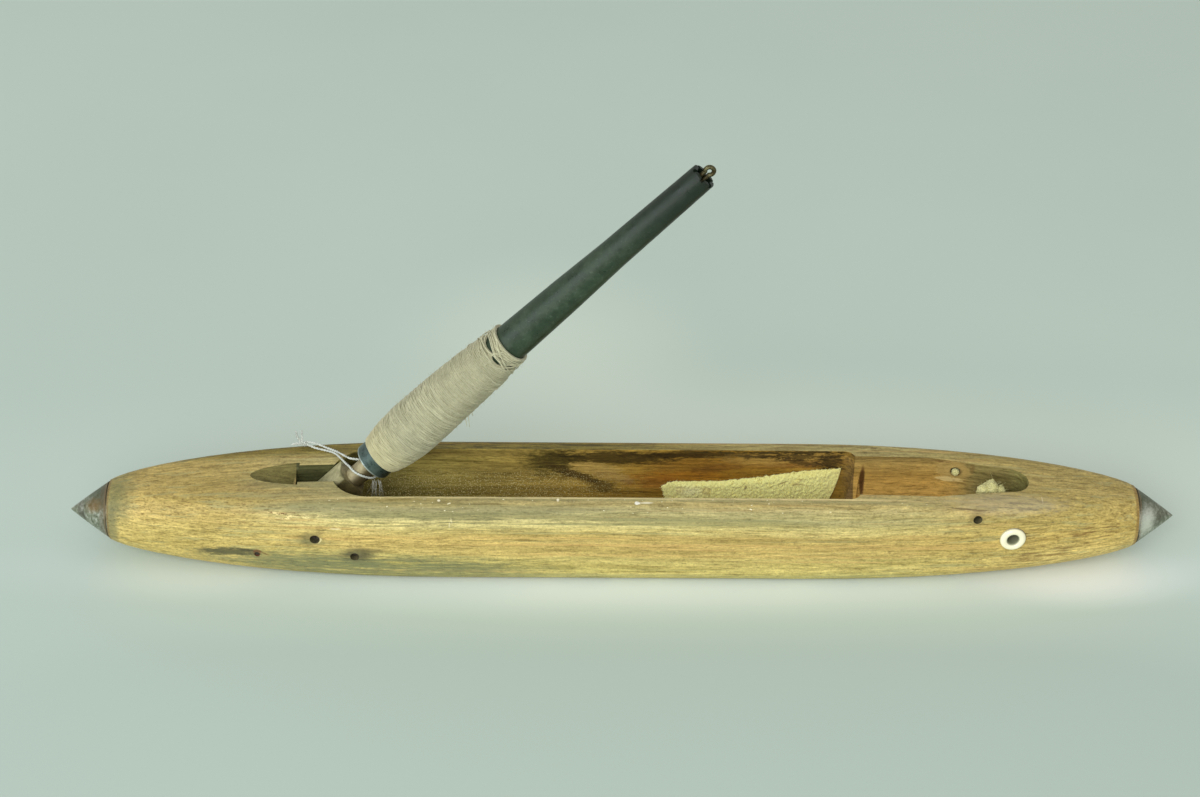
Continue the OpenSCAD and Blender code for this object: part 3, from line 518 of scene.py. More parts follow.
oiled_wood, shader, place = new_material("oiled well wood", rough=0.6, specular=0.15)
streak, line, _, _, height, mottle = use_group(grain, place)
axes = put("SeparateXYZ", place).outputs
ragged = speckle(place, (60, 120, 160), 6.0, 0.7)
along = calc("ADD", axes[0], spread(ragged, 0.014))
colour = shades(calc("MULTIPLY_ADD", along, 3.333, 0.5), [
    (0.0, (182, 174, 106)), (0.20, (170, 160, 90)), (0.33, (176, 158, 84)), (0.42, (180, 154, 78)),
    (0.50, (182, 150, 68)), (0.62, (164, 126, 44)), (0.78, (168, 136, 62)),
])
colour = stains_and_painted_light(place, colour, [
    ((-86, 0, 12), (13, 16, 15), 0.8, 0.5, (88, 82, 50), 0.7),
    ((-60, 14, 33.2), (34, 4, 1.8), 1.6, 0.4, (112, 96, 48), 0.6),
    ((-46, 14, 25), (14, 4, 5), 1.4, 0.6, (128, 112, 58), 0.5),
    ((60, 14, 31.4), (24, 4, 3.4), 1.8, 0.4, (172, 142, 78), 0.6, 0.03),
    ((26, 14, 28), (22, 4, 4.6), 1.8, 0.7, (122, 84, 28), 0.65),
    ((66, 14, 29), (16, 4, 1.7), 1.8, 0.6, (120, 78, 30), 0.7, 0.08),
    ((22, 14, 23), (17, 4, 2.2), 1.8, 0.6, (180, 122, 38), 0.7),
    ((-98, 12, 30), (5.0, 8, 4.6), 0.6, 0.3, (64, 64, 32), 0.8),
    ((-26, 14, 29.6), (10, 4, 6.0), 2.4, 0.6, (65, 60, 22), 0.85),
    ((-4, 14, 31.4), (22, 4, 3.1), 2.2, 0.4, (57, 47, 17), 0.9),
    ((28, 14, 33.1), (26, 4, 1.8), 2.2, 0.5, (54, 41, 15), 0.9, 0.01),
    ((-18, 14, 24.0), (11, 4, 2.0), 2.2, 0.5, (72, 57, 25), 0.85, -0.42),
    ((-9.6, 14, 26.4), (9.4, 4, 2.5), 2.4, 0.15, (190, 162, 90), 0.9, -0.10),
    ((-4.4, 14, 23.2), (6.4, 4, 2.4), 2.8, 0.15, (184, 154, 86), 0.88, -0.3),
    ((1.8, 14, 20.8), (2.6, 4, 1.2), 2.0, 0.2, (180, 148, 86), 0.85),
    ((-7, 14, 18.4), (5, 4, 2.6), 2.4, 0.4, (92, 78, 40), 0.7, -0.1),
    ((34, 14, 27), (8, 4, 1.6), 2.6, 0.4, (112, 76, 30), 0.6, 0.1),
    ((12, 14, 20), (9, 4, 3), 2.6, 0.6, (150, 92, 34), 0.6),
    ((58, 14, 31.6), (22, 4, 3.0), 3.4, 0.3, (178, 146, 74), 0.5),
    ((54, 14, 34.2), (25, 4, 0.7), 6.0, 0.3, (58, 50, 22), 0.85, 0.012),
    ((60, 14, 32.2), (19, 4, 1.2), 7.0, 0.3, (62, 50, 24), 0.75, -0.03),
    ((66, 14, 29.6), (12, 4, 1.0), 7.0, 0.3, (66, 50, 24), 0.7, -0.2),
    ((76, 13, 30), (4.0, 6, 4.5), 4.4, 0.3, (58, 47, 22), 0.8),
    ((83, 0, 24), (4.8, 16, 14), 0.8, 0.3, (116, 96, 64), 0.8),
])
channel = shades(product(axes[2], 28.0), [
    (0.42, (206, 168, 90)), (0.72, (200, 164, 88)), (0.86, (180, 152, 86)), (0.95, (158, 136, 80)),
])
channel = laid_over(channel, (150, 138, 86), fade(along, 0.116, 0.130))
channel = laid_over(channel, (147, 141, 87), fade(axes[0], 0.137, 0.144))
colour = tint(fade(axes[0], 0.0838, 0.0842), colour, channel)
slot_wood = laid_over(paint(93, 99, 66), (120, 113, 67), fade(axes[2], 0.0288, 0.0300))
slot_wood = laid_over(slot_wood, (84, 86, 54), fade(axes[0], -0.1186, -0.1181))
colour = tint(fade(axes[0], -0.1030, -0.1040), colour, slot_wood)
colour = vary(streak, colour, [
    (0.32, (0.62, 0.60, 0.52)), (0.5, (0.94, 0.93, 0.91)), (0.66, (1.15, 1.13, 1.08)),
])
colour = vary(line, colour, [
    (0.30, (0.44, 0.42, 0.36)), (0.44, (0.86, 0.85, 0.82)),
    (0.55, (1.03, 1.03, 1.03)), (0.7, (1.28, 1.28, 1.24)),
])
colour = vary(mottle, colour, [
    (0.34, (0.70, 0.68, 0.60)), (0.47, (0.97, 0.97, 0.96)),
    (0.53, (1.01, 1.01, 1.01)), (0.66, (1.22, 1.20, 1.14)),
])
colour = stains_and_painted_light(place, colour, [
    ((87.1, 0, 24), (0.95, 30, 6.6), 0.2, 0.3, (84, 52, 26), 0.9),
    # A painted highlight along the lit edge at the end of the slot.
    ((-118.5, -1.5, 31), (0.5, 3.6, 3), 0.8, 0.4, (172, 150, 96), 0.8),
    ((117.5, 12, 33.2), (5.5, 6, 0.5), 1.8, 0.3, (112, 84, 46), 0.7),
    ((126.5, 12, 31.0), (1.0, 6, 2.6), 1.4, 0.3, (120, 96, 54), 0.6, 0.3),
    ((120.4, 11, 29.4), (6.2, 6, 4.4), 1.4, 0.12, (210, 184, 116), 0.4),
    ((120.4, 11, 29.4), (5.6, 6, 3.9), 1.4, 0.3, (156, 130, 70), 0.75),
    ((120.6, 11, 29.3), (4.3, 6, 3.0), 1.2, 0.2, (186, 160, 96), 0.5),
    ((119, 11, 25.6), (4.8, 6, 1.0), 2.4, 0.2, (222, 200, 136), 0.8),
    ((120.9, 11, 29.2), (2.2, 6, 1.9), 0.5, 0.3, (96, 80, 44), 0.8),
])
lint = speckle(place, (1900, 1900, 2100), 2.0, 0.6)
lint = product(fade(lint, 0.56, 0.62), fade(axes[0], 0.015, -0.03))
colour = laid_over(colour, (220, 208, 148), lint, fade(axes[2], 0.0285, 0.0190), 0.9)
finish_shader(shader, colour, height, 0.0003)

dark_bore, shader, place = new_material("blackened bore", rough=0.8)
shade = speckle(place, (400, 400, 400))
colour = shades(shade, [(0.3, (60, 56, 35)), (0.7, (104, 97, 63))])
at_nail = fade(put("SeparateXYZ", place).outputs[0], -0.127, -0.128)
colour = laid_over(colour, (112, 66, 40), at_nail)
finish_shader(shader, colour, shade, 0.0002)


def off_skin(point):
    """How far a point of the body lies inside its planed outside."""
    full = fullness(point.x)
    half_width = point_radius + (body_half_width - point_radius) * full
    half_height = point_radius + (body_half_height - point_radius) * full
    edge = point_radius + ((top_edge if point.z > axis_z else sole_edge) - point_radius) * full
    out_y, out_z = abs(point.y) - half_width + edge, abs(point.z - axis_z) - half_height + edge
    return edge - math.hypot(max(out_y, 0), max(out_z, 0)) - min(max(out_y, out_z), 0)


body = merged_copy("shuttle_body", "wooden_body", 28, yellow_wood, oiled_wood, dark_bore)
cut_depth, bore_reach, front_y = 0.0005, 0.0023, -0.018
bores = [(-0.1105, 0.0195, 0), (-0.0965, 0.0122, 0), (-0.1315, 0.0118, 0), (0.1255, 0.0293, -0.17)]
for face in body.data.polygons:
    corners = [body.data.vertices[k].co for k in face.vertices]
    if max(off_skin(p) for p in corners) > cut_depth:
        face.material_index = 1
    for x, z, slant in bores:
        if all(math.hypot(p.x - x - slant * (p.y - front_y), p.z - z) < bore_reach for p in corners):
            face.material_index = 2
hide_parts("shuttle_body")
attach(body, "shuttle")


# The points: turned steel cones driven into the ends by their tangs. They are mottled, with painted
# reflection darker olive towards their top and bottom and, on the right point, a painted highlight
# and a dark band; there is rust where the wood begins.
def steel_material(name, marks):
    material, shader, place = new_material(name, rough=0.42, metal=0.55)
    cloud = speckle(place, (800, 420, 420), 6.0, 0.72)
    grit = speckle(place, (2200, 1300, 1300), 4.0, 0.65)
    colour = shades(cloud, [
        (0.36, (94, 100, 78)), (0.5, (136, 141, 120)), (0.62, (184, 188, 172)),
    ])
    axes = put("SeparateXYZ", place).outputs
    # Painted reflection: the cone is laid darker olive towards its top and towards its bottom.
    colour = laid_over(colour, (74, 82, 52), fade(axes[2], 0.0205, 0.0250), 0.75)
    colour = laid_over(colour, (98, 108, 72), fade(axes[2], 0.012, 0.0085), 0.6)
    colour = laid_over(colour, (66, 58, 46), fade(grit, 0.54, 0.64), 0.5)
    colour = stains_and_painted_light(place, colour, marks)
    finish_shader(shader, colour, cloud, 0.0002, fade(cloud, -0.2, 1.4))
    return material


joint_rust = (126, 104, 74)
for node, name, marks in (
    ("point_left", "left_point", [
        ((-190.6, -5, 22.4), (3.0, 6, 1.6), 1.8, 0.6, (124, 96, 52), 0.7, 0.5),
        ((-195.4, 0, 18), (1.6, 6, 2.6), 1.2, 0.6, (74, 66, 62), 0.6),
        ((-186.4, 0, 17.5), (0.5, 30, 30), 0.3, 0.3, joint_rust, 0.7),
        ((-187.6, 0, 17.5), (0.9, 30, 30), 0.8, 0.7, (108, 92, 68), 0.5),
    ]),
    ("point_right", "right_point", [
        ((186.4, 0, 17.5), (0.5, 30, 30), 0.3, 0.3, joint_rust, 0.6),
        # Painted reflection on the right point: a dark band across it and a bright highlight near the
        # joint.
        ((193.5, -6, 19.0), (5, 6, 2.2), 1.4, 0.5, (100, 98, 82), 0.6, -0.1),
        ((189.0, -8, 20.2), (3.0, 8, 4.4), 1.6, 0.7, (222, 224, 208), 0.85),
    ]),
):
    piece = merged_copy(node, name, 35, steel_material(name.replace("_", " ") + " steel", marks))
    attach(piece, "shuttle")
    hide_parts(node)


# The pins, nail and leaf spring: iron wire and strip, gone brown and black under old oil.
def iron_material(name, dark, light, rust, rough=0.55, metal=0.6):
    material, shader, place = new_material(name, rough=rough, metal=metal)
    cloud = speckle(place, (500, 500, 500), 6.0, 0.7)
    colour = shades(cloud, [(0.36, dark), (0.62, light)])
    blotches = speckle(place, (190, 190, 190), 5.0, 0.7)
    colour = laid_over(colour, rust, fade(blotches, 0.52, 0.66))
    finish_shader(shader, colour, cloud, 0.00025)
    return material


pin_iron = iron_material("old pin iron", (60, 54, 44), (104, 96, 80), (92, 54, 36))
for node in ("pivot_pin", "stop_pin", "spring_nail", "leaf_spring"):
    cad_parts[node].material_slots[0].material = pin_iron


# The spindle: a forged heel with a turned shank and mandrel, hinged on its pin, and a spring wire
# bent double in the mandrel's fork. The heel's top is painted light against its dark brown sides, and
# the shank's underside has painted shade.
pivot = Vector((-0.1105, 0, 0.0195))
spindle_way = Vector((0.68962, 0, 0.724172))
spindle_up = Vector((-0.724172, 0, 0.68962))


def measured(place, start, way):
    """How far a place lies from a start, counted along a way."""
    return vector_calc("DOT_PRODUCT", vector_calc("SUBTRACT", place, start), way)


heel_iron, shader, place = new_material("heel iron with painted light", rough=0.5, metal=0.4)
cloud = speckle(place, (330, 330, 330), 6.0, 0.7)
reach = measured(place, pivot, spindle_way)
above = measured(place, pivot, spindle_up)
colour = shades(cloud, [(0.36, (70, 65, 38)), (0.62, (116, 105, 66))])
# Painted light: the heel's top, out over its shoulder, is a lighter copy of the same iron.
bright = shades(cloud, [(0.36, (168, 163, 120)), (0.62, (206, 201, 156))])
top_face = product(fade(above, 0.0030, 0.0040), fade(reach, 0.0186, 0.0180))
colour = tint(top_face, colour, bright)
shank = shades(cloud, [(0.36, (138, 128, 96)), (0.62, (182, 172, 134))])
# Painted shade on the underside of the shank.
shank = laid_over(shank, (84, 74, 46), fade(above, 0.0020, -0.0012))
colour = tint(fade(reach, 0.0183, 0.0187), colour, shank)
finish_shader(shader, colour, cloud, 0.00025)
heel = merged_copy("spindle_heel", "spindle_iron", 30, heel_iron)
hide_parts("spindle_heel")
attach(heel, "spindle")
bronze_wire = iron_material("bronzed wire", (64, 60, 40), (108, 104, 72), (78, 68, 42), 0.45, 0.8)
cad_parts["spindle_hairpin"].material_slots[0].material = bronze_wire


# The pirn: a turned wooden tube, painted dark green-grey and rubbed dull, with a pressed metal
# cup over its foot. It is a push fit on the mandrel and slides off along the spindle.
spindle_foot = Vector((-0.109921, 0, 0.018948))
green_paint, shader, place = new_material("rubbed green paint", rough=0.4, specular=0.42)
cloud = speckle(place, (260, 260, 260), 6.0, 0.7)
scuffs = speckle(place, (900, 900, 900), 4.0, 0.65)
reach = measured(place, spindle_foot, spindle_way)
colour = shades(cloud, [(0.34, (30, 46, 28)), (0.5, (40, 57, 38)), (0.66, (53, 69, 50))])
colour = laid_over(colour, (92, 106, 92), fade(scuffs, 0.58, 0.72), 0.35)
worn_tip = fade(calc("ADD", reach, spread(scuffs, 0.004)), 0.1915, 0.1935)
colour = laid_over(colour, (30, 32, 22), worn_tip)
# Painted shade: the tube is laid darker towards its tip.
colour = laid_over(colour, (14, 28, 15), fade(reach, 0.140, 0.185), 0.85)
finish_shader(shader, colour, scuffs, 0.00006, fade(cloud, -0.25, 1.45))
pirn = merged_copy("pirn_tube", "painted_pirn", 25, green_paint)
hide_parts("pirn_tube")
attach(pirn, "pirn")

cup_metal, shader, place = new_material("pressed cup metal", rough=0.35, metal=0.55)
cloud = speckle(place, (500, 500, 500), 5.0, 0.6)
reach = measured(place, spindle_foot, spindle_way)
colour = shades(cloud, [(0.36, (60, 75, 69)), (0.62, (82, 98, 92))])
colour = laid_over(colour, (168, 180, 172), fade(reach, 0.0290, 0.0286))
# Painted shade on the cup's underside, below the yarn.
above = measured(place, spindle_foot, spindle_up)
colour = laid_over(colour, (36, 44, 34), fade(above, 0.001, -0.006), 0.75)
finish_shader(shader, colour, cloud, 0.0001, fade(cloud, -0.2, 1.6))
cup = merged_copy("pirn_ferrule", "pirn_cup", 30, cup_metal)
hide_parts("pirn_ferrule")
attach(cup, "pirn")


# The yarn: undyed cotton weft wound on the lower half of the pirn in close turns, one layer over
# another. The last turns lie crossed and parted at the top, where the green tube shows between;
# a few loose ends hang down over them, and fine fibres stand out all round.
yarn_foot, yarn_length, yarn_thread, full_turn = 0.0331, 0.0672, 0.00042, 6.28
weft, shader, place = new_material("undyed weft", rough=0.9, sheen=0.15)
shade, height = use_group(fibres, place, 1500.0)
reach = measured(place, spindle_foot, spindle_way)
slip = speckle(place, (90, 90, 90), 2.0)
turns = put("CombineXYZ", calc("MULTIPLY_ADD", reach, 1300.0, product(slip, 5.0)))
turns = put("TexNoise", turns.outputs[0], None, 1.0, 3.0, 0.6).outputs[0]
colour = shades(shade, [(0.36, (168, 167, 134)), (0.62, (205, 203, 170))])
colour = vary(turns, colour, [
    (0.34, (0.82, 0.80, 0.74)), (0.46, (0.96, 0.95, 0.93)), (0.6, (1.0, 1.0, 1.0)),
])
colour = laid_over(colour, (214, 206, 156), fade(reach, 0.050, 0.034), 0.5)
finish_shader(shader, colour, height, 0.00012)

# Gaps in the winding: distance from the foot, middle and half width in degrees, and opening
partings = [
    (0.0960, 112, 44, 0.00135), (0.0947, 170, 24, 0.0009), (0.0983, 212, 26, 0.0006),
    (0.0968, 20, 30, 0.0007), (0.0950, 280, 34, 0.0008), (0.0980, 330, 24, 0.0006),
]


def at_spindle(reach, radius, turn):
    """A point at a distance along the spindle's axis, a radius away from it and an angle round it."""
    return moved_out(spindle_foot + spindle_way * reach, radius, turn, Vector((0, 1, 0)), spindle_up)


def yarn_radius(reach):
    """Outer radius of the wound yarn, which is fullest at a quarter of its length."""
    foot_radius, full_radius, top_radius, fullest, thinning = 0.0080, 0.0099, 0.00762, 0.25, 2.6
    share = min(1, max(0, (reach - yarn_foot) / yarn_length))
    if share < fullest:
        return foot_radius + (full_radius - foot_radius) * math.sin(math.pi / 2 * share / fullest)
    past_fullest = (share - fullest) / (1 - fullest)
    return top_radius + (full_radius - top_radius) * (1 - past_fullest ** thinning)


def on_yarn(reach, radius, turn, sides=None):
    """A point on the winding, which sags a little on its underside and parts round its gaps."""
    sag, sag_at, sag_half, from_gap, squeezed = 0.00045, 0.046, 0.022, 2.2, 1.2
    sag *= max(0, -math.sin(turn)) * max(0, 1 - ((reach - sag_at) / sag_half) ** 2)
    for k, (place, middle, half, wide) in enumerate(partings):
        off = (math.degrees(turn) - middle + 180) % 360 - 180
        if sides is None or abs(off) >= half:
            if sides is not None:
                sides.pop(k, None)
            continue
        side = sides.setdefault(k, 1 if reach > place else -1)
        open_by = wide * math.cos(math.pi / 2 * off / half)
        if (reach - place) * side < from_gap * open_by:
            reach = place + side * (open_by + max(0, (reach - place) * side) * squeezed / from_gap)
    return at_spindle(reach, radius + sag, turn)


def wind(mesh, start, end, pitch, radius_at, lean, lean_turn, seed):
    """One thread in turns from start to end, both counted from the yarn's foot. It leans towards one
    side of the pirn, and its pitch wanders a little."""
    chance, steps = random.Random(seed), 24
    way = 1 if end > start else -1
    lowest = yarn_foot + yarn_thread / 2
    highest = yarn_foot + yarn_length - yarn_thread / 2
    points, sides, turn = [], {}, chance.uniform(0, full_turn)
    reach, end = yarn_foot + start, yarn_foot + end
    while (end - reach) * way > 0:
        step_pitch = pitch * chance.uniform(0.75, 1.25)
        for k in range(steps):
            place = min(max(reach + lean * math.sin(turn - lean_turn), lowest), highest)
            points.append(on_yarn(place, radius_at(place), turn, sides))
            turn += 2 * math.pi / steps
            reach += way * step_pitch / steps
    lay_strand(mesh, points, yarn_thread / 2, 4)


mesh = bmesh.new()
core_sides, core_steps, core_depth = 48, 30, 0.0006
core_profile = [(0.0003, 0.0071)]
for k in range(core_steps + 1):
    reach = 0.0006 + 0.0590 * k / core_steps
    core_profile.append((reach, yarn_radius(yarn_foot + reach) - core_depth))
core_profile.append((0.0604, 0.0068))
turns = [2 * math.pi * k / core_sides for k in range(core_sides)]
rings = [
    [mesh.verts.new(on_yarn(yarn_foot + reach, radius, turn)) for turn in turns]
    for reach, radius in core_profile
]
for ring, after in zip(rings, rings[1:]):
    for k in range(core_sides):
        mesh.faces.new((ring[k], after[k], after[(k + 1) % core_sides], ring[(k + 1) % core_sides]))
mesh.faces.new(rings[0])
mesh.faces.new(rings[-1][::-1])
bmesh.ops.recalc_face_normals(mesh, faces=mesh.faces)
yarn_core = new_piece("packed_yarn", mesh, weft)
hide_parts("yarn_core")
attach(yarn_core, "pirn")

mesh = bmesh.new()
wind(mesh, 0, 0.0605, 0.00050, lambda s: yarn_radius(s) - 0.00048, 0.0005, 0.4, 3)
wind(mesh, 0.0605, 0.0002, 0.00062, lambda s: yarn_radius(s) - 0.00021, 0.0009, 2.2, 4)
for seed in range(14):
    chance = random.Random(40 + seed)
    start = chance.uniform(0.001, 0.050)
    wind(
        mesh, start, start + chance.uniform(0.002, 0.010), 0.0022, lambda s: yarn_radius(s) - 0.00005,
        chance.uniform(0.0010, 0.0026), chance.uniform(0, full_turn), 60 + seed,
    )
for seed in range(9):
    chance = random.Random(80 + seed)
    wind(
        mesh, 0.0585 + 0.001 * chance.random(), 0.0662 + 0.001 * chance.random(), 0.0019,
        lambda s: 0.0070 + 0.00009 * seed,
        chance.uniform(0.0010, 0.0032), chance.uniform(0, full_turn), 90 + seed,
    )
for seed in range(12):
    chance = random.Random(140 + seed)
    start = 0.0520 + 0.0080 * chance.random()
    wind(
        mesh, start, start + 0.0060, 0.0075, lambda s: yarn_radius(s) + 0.00014,
        chance.uniform(0.0024, 0.0050), chance.uniform(0, full_turn), 150 + seed,
    )
wind(mesh, 0.0650, 0.0670, 0.00042, lambda s: 0.0071, 0.0004, 1.0, 120)
wind(mesh, 0.0670, 0.0648, 0.0005, lambda s: 0.0074, 0.0006, 2.5, 121)
wound_yarn = new_piece("wound_yarn", mesh, weft)
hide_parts("yarn_turns")
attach(wound_yarn, "pirn")


def stray_fibres(mesh, roots, way, long, radius, curl, seed):
    """Fine fibres that set out from their roots in about one way, and swerve at every step."""
    chance, steps = random.Random(seed), 6

    def swerve():
        return Vector([chance.uniform(-curl, curl) for _ in range(3)])

    for root in roots:
        heading = (Vector(way) + swerve()).normalized()
        points, step = [root], chance.uniform(0.6, 1.0) * long / steps
        for _ in range(steps):
            points.append(points[-1] + heading * step)
            heading = (heading + swerve() * 0.7).normalized()
        lay_strand(mesh, points, radius, 3, 0.5)


mesh = bmesh.new()
for reach, turn, fall in ((0.0683, -100, 0.0052), (0.0676, -112, 0.0034), (0.0700, -96, 0.0022)):
    start = at_spindle(reach, yarn_radius(reach) - 0.0002, math.radians(turn))
    drop = [start + Vector((0.0001 * k, -0.00008 * k, -fall * (k / 6) ** 1.3)) for k in range(7)]
    lay_strand(mesh, drop, 0.00019, 4, 0.5)
chance = random.Random(17)
for _ in range(320):
    reach = yarn_foot + yarn_length * (0.04 + 0.94 * chance.random())
    turn = chance.uniform(0, full_turn)
    root = at_spindle(reach, yarn_radius(reach) - 0.0001, turn)
    away = (root - at_spindle(reach, 0, 0)).normalized() + spindle_way * chance.uniform(-0.7, 0.7)
    stray_fibres(mesh, [root], away, 0.0019, 0.00005, 0.6, chance.random())
loose_ends = new_piece("loose_yarn_ends", mesh, weft)
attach(loose_ends, "pirn")


# Lint: a few fine grey fibres of old fluff from the yarn, caught on the shank between the cup and
# the string, and hanging down into the well.
grey_lint = fibre_material("grey lint", (150, 152, 138), (206, 208, 196), 2200.0)
mesh = bmesh.new()
chance = random.Random(7)
lint_roots = mm([
    (-90.2 + 3.6 * chance.random(), -7.6 + 1.2 * chance.random(), 36 + chance.random())
    for _ in range(15)
])
stray_fibres(mesh, lint_roots, (0.05, 0.0, -1), 0.0100, 0.00006, 0.22, 11)
caught_lint = new_piece("caught_lint", mesh, grey_lint)
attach(caught_lint, "spindle")


# The thread eye: a glazed white eyelet with a domed rim, cemented into the front wall so that the
# weft runs out over it. Its bore is grey.
glaze, shader, place = new_material("eyelet glaze", rough=0.18)
eye_turn, eye_middle = math.radians(4.94), (0.139, -0.019, 0.0203)
bore_way = Vector((math.sin(eye_turn), -math.cos(eye_turn), 0))
from_axis = vector_calc("SUBTRACT", place, eye_middle)
from_axis = vector_calc("LENGTH", vector_calc("CROSS_PRODUCT", from_axis, bore_way))
in_bore = fade(from_axis, 0.0026, 0.0021)
colour = laid_over(paint(252, 247, 212), (142, 143, 114), in_bore)
colour = laid_over(colour, (90, 84, 60), fade(from_axis, 0.0044, 0.0049))
specks = speckle(place, (1200, 1200, 1200), 4.0, 0.6)
colour = laid_over(colour, (186, 178, 140), fade(specks, 0.62, 0.72), 0.25)
finish_shader(shader, colour)
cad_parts["thread_eye"].material_slots[0].material = glaze


# The fleece: a strip of short-piled cream cloth glued to each wall of the well, to brake the weft
# as it runs off. Its top edge is cut by hand and frayed, and its pile has whorls and brown marks.
fleece_left, fleece_right, fleece_low, wall_y, fleece_thick = 0.0140, 0.0797, 0.0048, 0.0142, 0.0014
pile, shader, place = new_material("cream pile", rough=0.9, sheen=0.6)
shade, height = use_group(fibres, place, 1900.0)
# The pile's curls, drawn with painted shade in the hollows between them.
painted_curl_shade = speckle(place, (1500, 700, 800), 4.0, 0.70)
level = put("SeparateXYZ", place).outputs[2]
colour = shades(shade, [(0.32, (254, 238, 122)), (0.48, (255, 254, 166))])
colour = vary(painted_curl_shade, colour, [
    (0.31, (0.42, 0.36, 0.18)), (0.42, (0.98, 0.97, 0.93)), (0.50, (1.0, 1.0, 1.0)),
])
# Painted shade: the pile is darker towards its top edge.
colour = tint(fade(level, 0.0210, 0.0275), colour, (0.84, 0.80, 0.74, 1), "MULTIPLY")
colour = stains_and_painted_light(place, colour, [
    # A painted pool of light low on the left of the pile.
    ((24.4, 0, 17.0), (4.2, 30, 2.2), 1.2, 0.8, (255, 255, 204), 0.6),
    ((30.5, 0, 17.2), (1.8, 30, 1.8), 1.0, 0.3, (196, 172, 92), 0.6),
    ((30.5, 0, 17.2), (1.1, 30, 1.1), 0.8, 0.3, (252, 242, 156), 0.8),
    ((20.8, 0, 17.6), (1.7, 30, 1.6), 1.0, 0.3, (206, 188, 108), 0.5),
    ((20.8, 0, 17.6), (1.0, 30, 1.0), 0.8, 0.3, (255, 248, 170), 0.8),
    ((44.9, 0, 18.9), (0.6, 30, 1.1), 1.2, 0.4, (142, 120, 58), 0.7, 0.3),
    ((58.7, 0, 21.3), (2.0, 30, 0.4), 1.4, 0.4, (150, 124, 58), 0.75, 0.35),
    ((63.8, 0, 20.4), (2.2, 30, 0.45), 1.4, 0.4, (156, 130, 64), 0.7, 0.1),
    ((64.8, 0, 22.8), (1.3, 30, 0.3), 1.2, 0.4, (156, 130, 64), 0.7, 0.1),
])
finish_shader(shader, colour, height, 0.00034)


def fleece_top(share):
    """Height of the cut edge at a share of the strip's length."""
    at = [(0, 18.9), (0.06, 21.0), (0.32, 21.2), (0.55, 23.2), (0.78, 26.0), (1, 27.4)]
    for (a, low), (b, high) in zip(at, at[1:]):
        if share <= b:
            return (low + (high - low) * (share - a) / (b - a)) / 1000
    return at[-1][1] / 1000


def pile_noise(*place):
    return noise.fractal(Vector(place), 1.0, 2.0, 4)


def fleece_strip(name, side):
    """A strip on one wall, side 1 at the back and -1 in front. Its right end follows the round end of
    the well, and its left end is cut aslant near the floor."""
    columns, rows, well_end_radius, well_end_top = 230, 66, 0.040, 0.032
    slant, slant_from = 0.28, 0.0185
    mesh = bmesh.new()
    grid = []
    for i in range(columns + 1):
        share = i / columns
        x = fleece_left + (fleece_right - fleece_left) * share
        top = fleece_top(share) + 0.0005 * pile_noise(x * 700, side, 3)
        column = []
        for j in range(rows + 1):
            z = fleece_low + (top - fleece_low) * j / rows
            back = well_end_radius - math.sqrt(well_end_radius ** 2 - max(0, well_end_top - z) ** 2)
            frayed = 0.0004 * pile_noise(5, side, z * 900) + slant * max(0, slant_from - z)
            pulled = min(x + frayed * (1 - share) ** 8, fleece_right - back * share ** 3)
            tuft = pile_noise(pulled * 1250, side * 7, z * 900)
            at_edge = min(1, 6 * min(share, 1 - share, j / rows, 1 - j / rows) + 0.35)
            y = side * (wall_y - fleece_thick * (0.72 + 0.28 * tuft) * at_edge)
            column.append(mesh.verts.new((pulled, y, z)))
        grid.append(column)
    for i in range(columns):
        for j in range(rows):
            mesh.faces.new((grid[i][j], grid[i + 1][j], grid[i + 1][j + 1], grid[i][j + 1]))
    back_faces = bmesh.ops.duplicate(mesh, geom=mesh.faces[:])["geom"]
    for vertex in (v for v in back_faces if isinstance(v, bmesh.types.BMVert)):
        vertex.co.y = side * wall_y
    tops = [[vertex.co.copy() for vertex in column] for column in grid]
    bmesh.ops.bridge_loops(mesh, edges=[edge for edge in mesh.edges if edge.is_boundary])
    bmesh.ops.recalc_face_normals(mesh, faces=mesh.faces)
    strip = new_piece(name, mesh, pile)
    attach(strip, "shuttle")
    mesh = bmesh.new()
    top_roots, left_roots = [column[-1] for column in tops[::2]], tops[0][30:64:3] + tops[1][31:64:4]
    stray_fibres(mesh, top_roots, (0.1, -0.25 * side, 1), 0.0010, 0.00005, 0.6, 21)
    stray_fibres(mesh, left_roots, (-1, -0.25 * side, 0.2), 0.0011, 0.00005, 0.6, 22)
    frays = new_piece(name + "_frays", mesh, pile)
    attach(frays, "shuttle")
    return strip


fleece_back = fleece_strip("fleece_strip_back", 1)
fleece_front = fleece_strip("fleece_strip_front", -1)
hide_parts("fleece_back")
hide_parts("fleece_front")


# The wool: a loose wad pushed in beside the eye to slow the thread, and a twist of the same wool
# that stops the cross hole in the far wall.
raw_wool = fibre_material("raw wool", (190, 184, 114), (244, 238, 170), 2600.0, 0.0005)


def wad(mesh, centre, radii, seed):
    """A lump of matted wool: a ball pushed in and out by noise."""
    made = bmesh.ops.create_icosphere(mesh, subdivisions=5, radius=1)["verts"]
    for vertex in made:
        way = vertex.co.normalized()
        swell = 0.86 + 0.17 * noise.fractal(way * 2.2 + Vector((seed, 0, 0)), 0.55, 2.0, 6)
        out = [way[k] * radii[k] / 1000 * swell for k in range(3)]
        vertex.co = Vector(centre) / 1000 + Vector(out)


